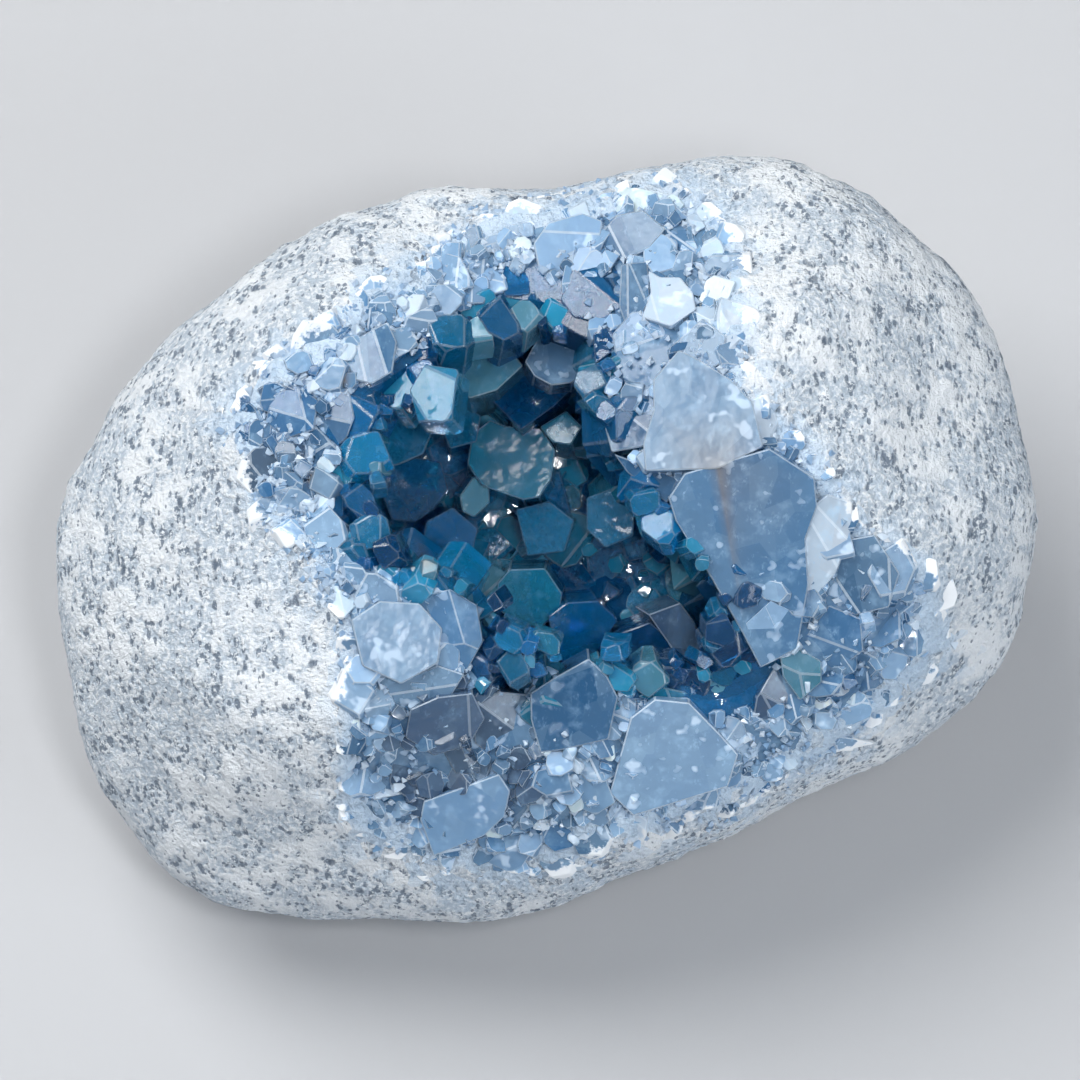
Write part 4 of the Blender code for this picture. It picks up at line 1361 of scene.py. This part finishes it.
class GEODE_OT_crystals(bpy.types.Operator):
    """Grows the crystals of the hollow and of its broken rim"""

    bl_idname = "geode.crystals"
    bl_label = "Crystals"

    def execute(self, context):
        settings = context.scene.geode_crystals
        rng = random.Random(SEED)
        surface = surface_of_stone()
        forms = crystal_forms(rng)
        hollow_standing = [standing_crystal(surface, row, False, rng) for row in IN_HOLLOW]
        rim_standing = [standing_crystal(surface, row, True, rng) for row in ON_RIM]
        standing = hollow_standing + rim_standing
        body = crust_body(surface)
        finish_body(body)
        inner = hollow_standing + lining_crystals(surface, forms, standing, rng)
        outer = rim_standing + rim_crystals(surface, forms, standing, rng)
        material = crystal_material("celestite", settings, context.scene.geode_stone)
        hollow = grown_together("hollow_crystals", inner)
        combine(hollow, "UNION", body)
        for crust in (hollow, grown_together("rim_crystals", outer)):
            mark_rim(crust)
            finish_piece(crust, material, "crystal", "crystal_crust")
        splinters = chips("splinters", surface, rng)
        finish_piece(splinters, chip_material(settings), "crystal", "crystal_crust")
        return {"FINISHED"}


def area_light(name, light, target, power):
    """A round light from (place, width, tint), turned to the target."""
    place, width, tint = light
    data = bpy.data.lights.new(name, "AREA")
    data.shape = "DISK"
    data.size = width
    data.energy = power
    data.color = tint
    obj = bpy.data.objects.new(name, data)
    bpy.context.scene.collection.objects.link(obj)
    obj.location = place
    obj.rotation_euler = (target - Vector(place)).to_track_quat("-Z", "Y").to_euler()


def pale_floor(stage):
    bpy.ops.object.select_all(action="DESELECT")
    bpy.ops.mesh.primitive_plane_add(size=FLOOR_WIDTH)
    floor = bpy.context.object
    floor.name = "floor"
    nodes = Nodes("pale_floor")
    darker = [DARKER_SHARE * part for part in stage.floor]
    nodes.surface(Base_Color=nodes.mix(nodes.noise(400, 3), stage.floor, darker), Roughness=FLOOR_ROUGHNESS)
    floor.data.materials.append(nodes.material)
    return floor


def sky(strength):
    world = bpy.data.worlds.new("studio")
    world.use_nodes = True
    background = world.node_tree.nodes["Background"]
    background.inputs["Color"].default_value = SKY_TINT
    background.inputs["Strength"].default_value = strength
    return world


def camera_above(stage):
    """The camera, straight over the opening."""
    camera = bpy.data.objects.new("camera", bpy.data.cameras.new("camera"))
    bpy.context.scene.collection.objects.link(camera)
    camera.data.lens = camera.data.sensor_width * stage.distance / stage.picture
    camera.data.clip_end = SEES_UP_TO
    camera.matrix_world = (
        Matrix.Translation(to_row_frame() @ Vector(LOOKED_AT_MM))
        @ Matrix.Rotation(math.radians(MOUTH_TILT_DEG), 4, "X")
        @ Matrix.Translation((0, 0, stage.distance))
    )
    return camera


class GEODE_OT_stage(bpy.types.Operator):
    """Sets the pale floor, the soft lights and the camera"""

    bl_idname = "geode.stage"
    bl_label = "Stage"

    def execute(self, context):
        scene = context.scene
        stage = scene.geode_stage
        floor = pale_floor(stage)
        middle = to_row_frame() @ Vector((0, 0, 0))
        area_light("key", KEY_LIGHT, middle, stage.key)
        area_light("sparkle", SPARKLE_LIGHT, middle, stage.sparkle)
        area_light("fill", FILL_LIGHT, middle, stage.key * FILL_SHARE)
        scene.world = sky(stage.sky)
        scene.view_settings.view_transform = "Standard"
        scene.camera = camera_above(stage)
        for name, value in LIGHT_PATHS.items():
            setattr(scene.cycles, name, value)
        return {"FINISHED"}


class GEODE_PT_panel(bpy.types.Panel):
    """Lists the geode's pieces and its stage"""

    bl_label = "Geode"
    bl_idname = "GEODE_PT_panel"
    bl_space_type = "VIEW_3D"
    bl_region_type = "UI"
    bl_category = "Geode"

    def draw(self, context):
        for settings in (context.scene.geode_stone, context.scene.geode_crystals, context.scene.geode_stage):
            box = self.layout.box()
            for name in settings.__annotations__:
                box.prop(settings, name)
        for operator in OPERATORS:
            self.layout.operator(operator.bl_idname)


SETTINGS = {"geode_stone": StoneSettings, "geode_crystals": CrystalSettings, "geode_stage": StageSettings}
OPERATORS = (GEODE_OT_stone, GEODE_OT_crystals, GEODE_OT_stage)


def register():
    for name, settings in SETTINGS.items():
        bpy.utils.register_class(settings)
        setattr(bpy.types.Scene, name, PointerProperty(type=settings))
    for made in (*OPERATORS, GEODE_PT_panel):
        bpy.utils.register_class(made)


def unregister():
    for made in (GEODE_PT_panel, *reversed(OPERATORS)):
        bpy.utils.unregister_class(made)
    for name, settings in SETTINGS.items():
        delattr(bpy.types.Scene, name)
        bpy.utils.unregister_class(settings)


def main():
    register()
    bpy.ops.geode.stone()
    bpy.ops.geode.crystals()
    bpy.ops.geode.stage()


if __name__ == "__main__":
    main()
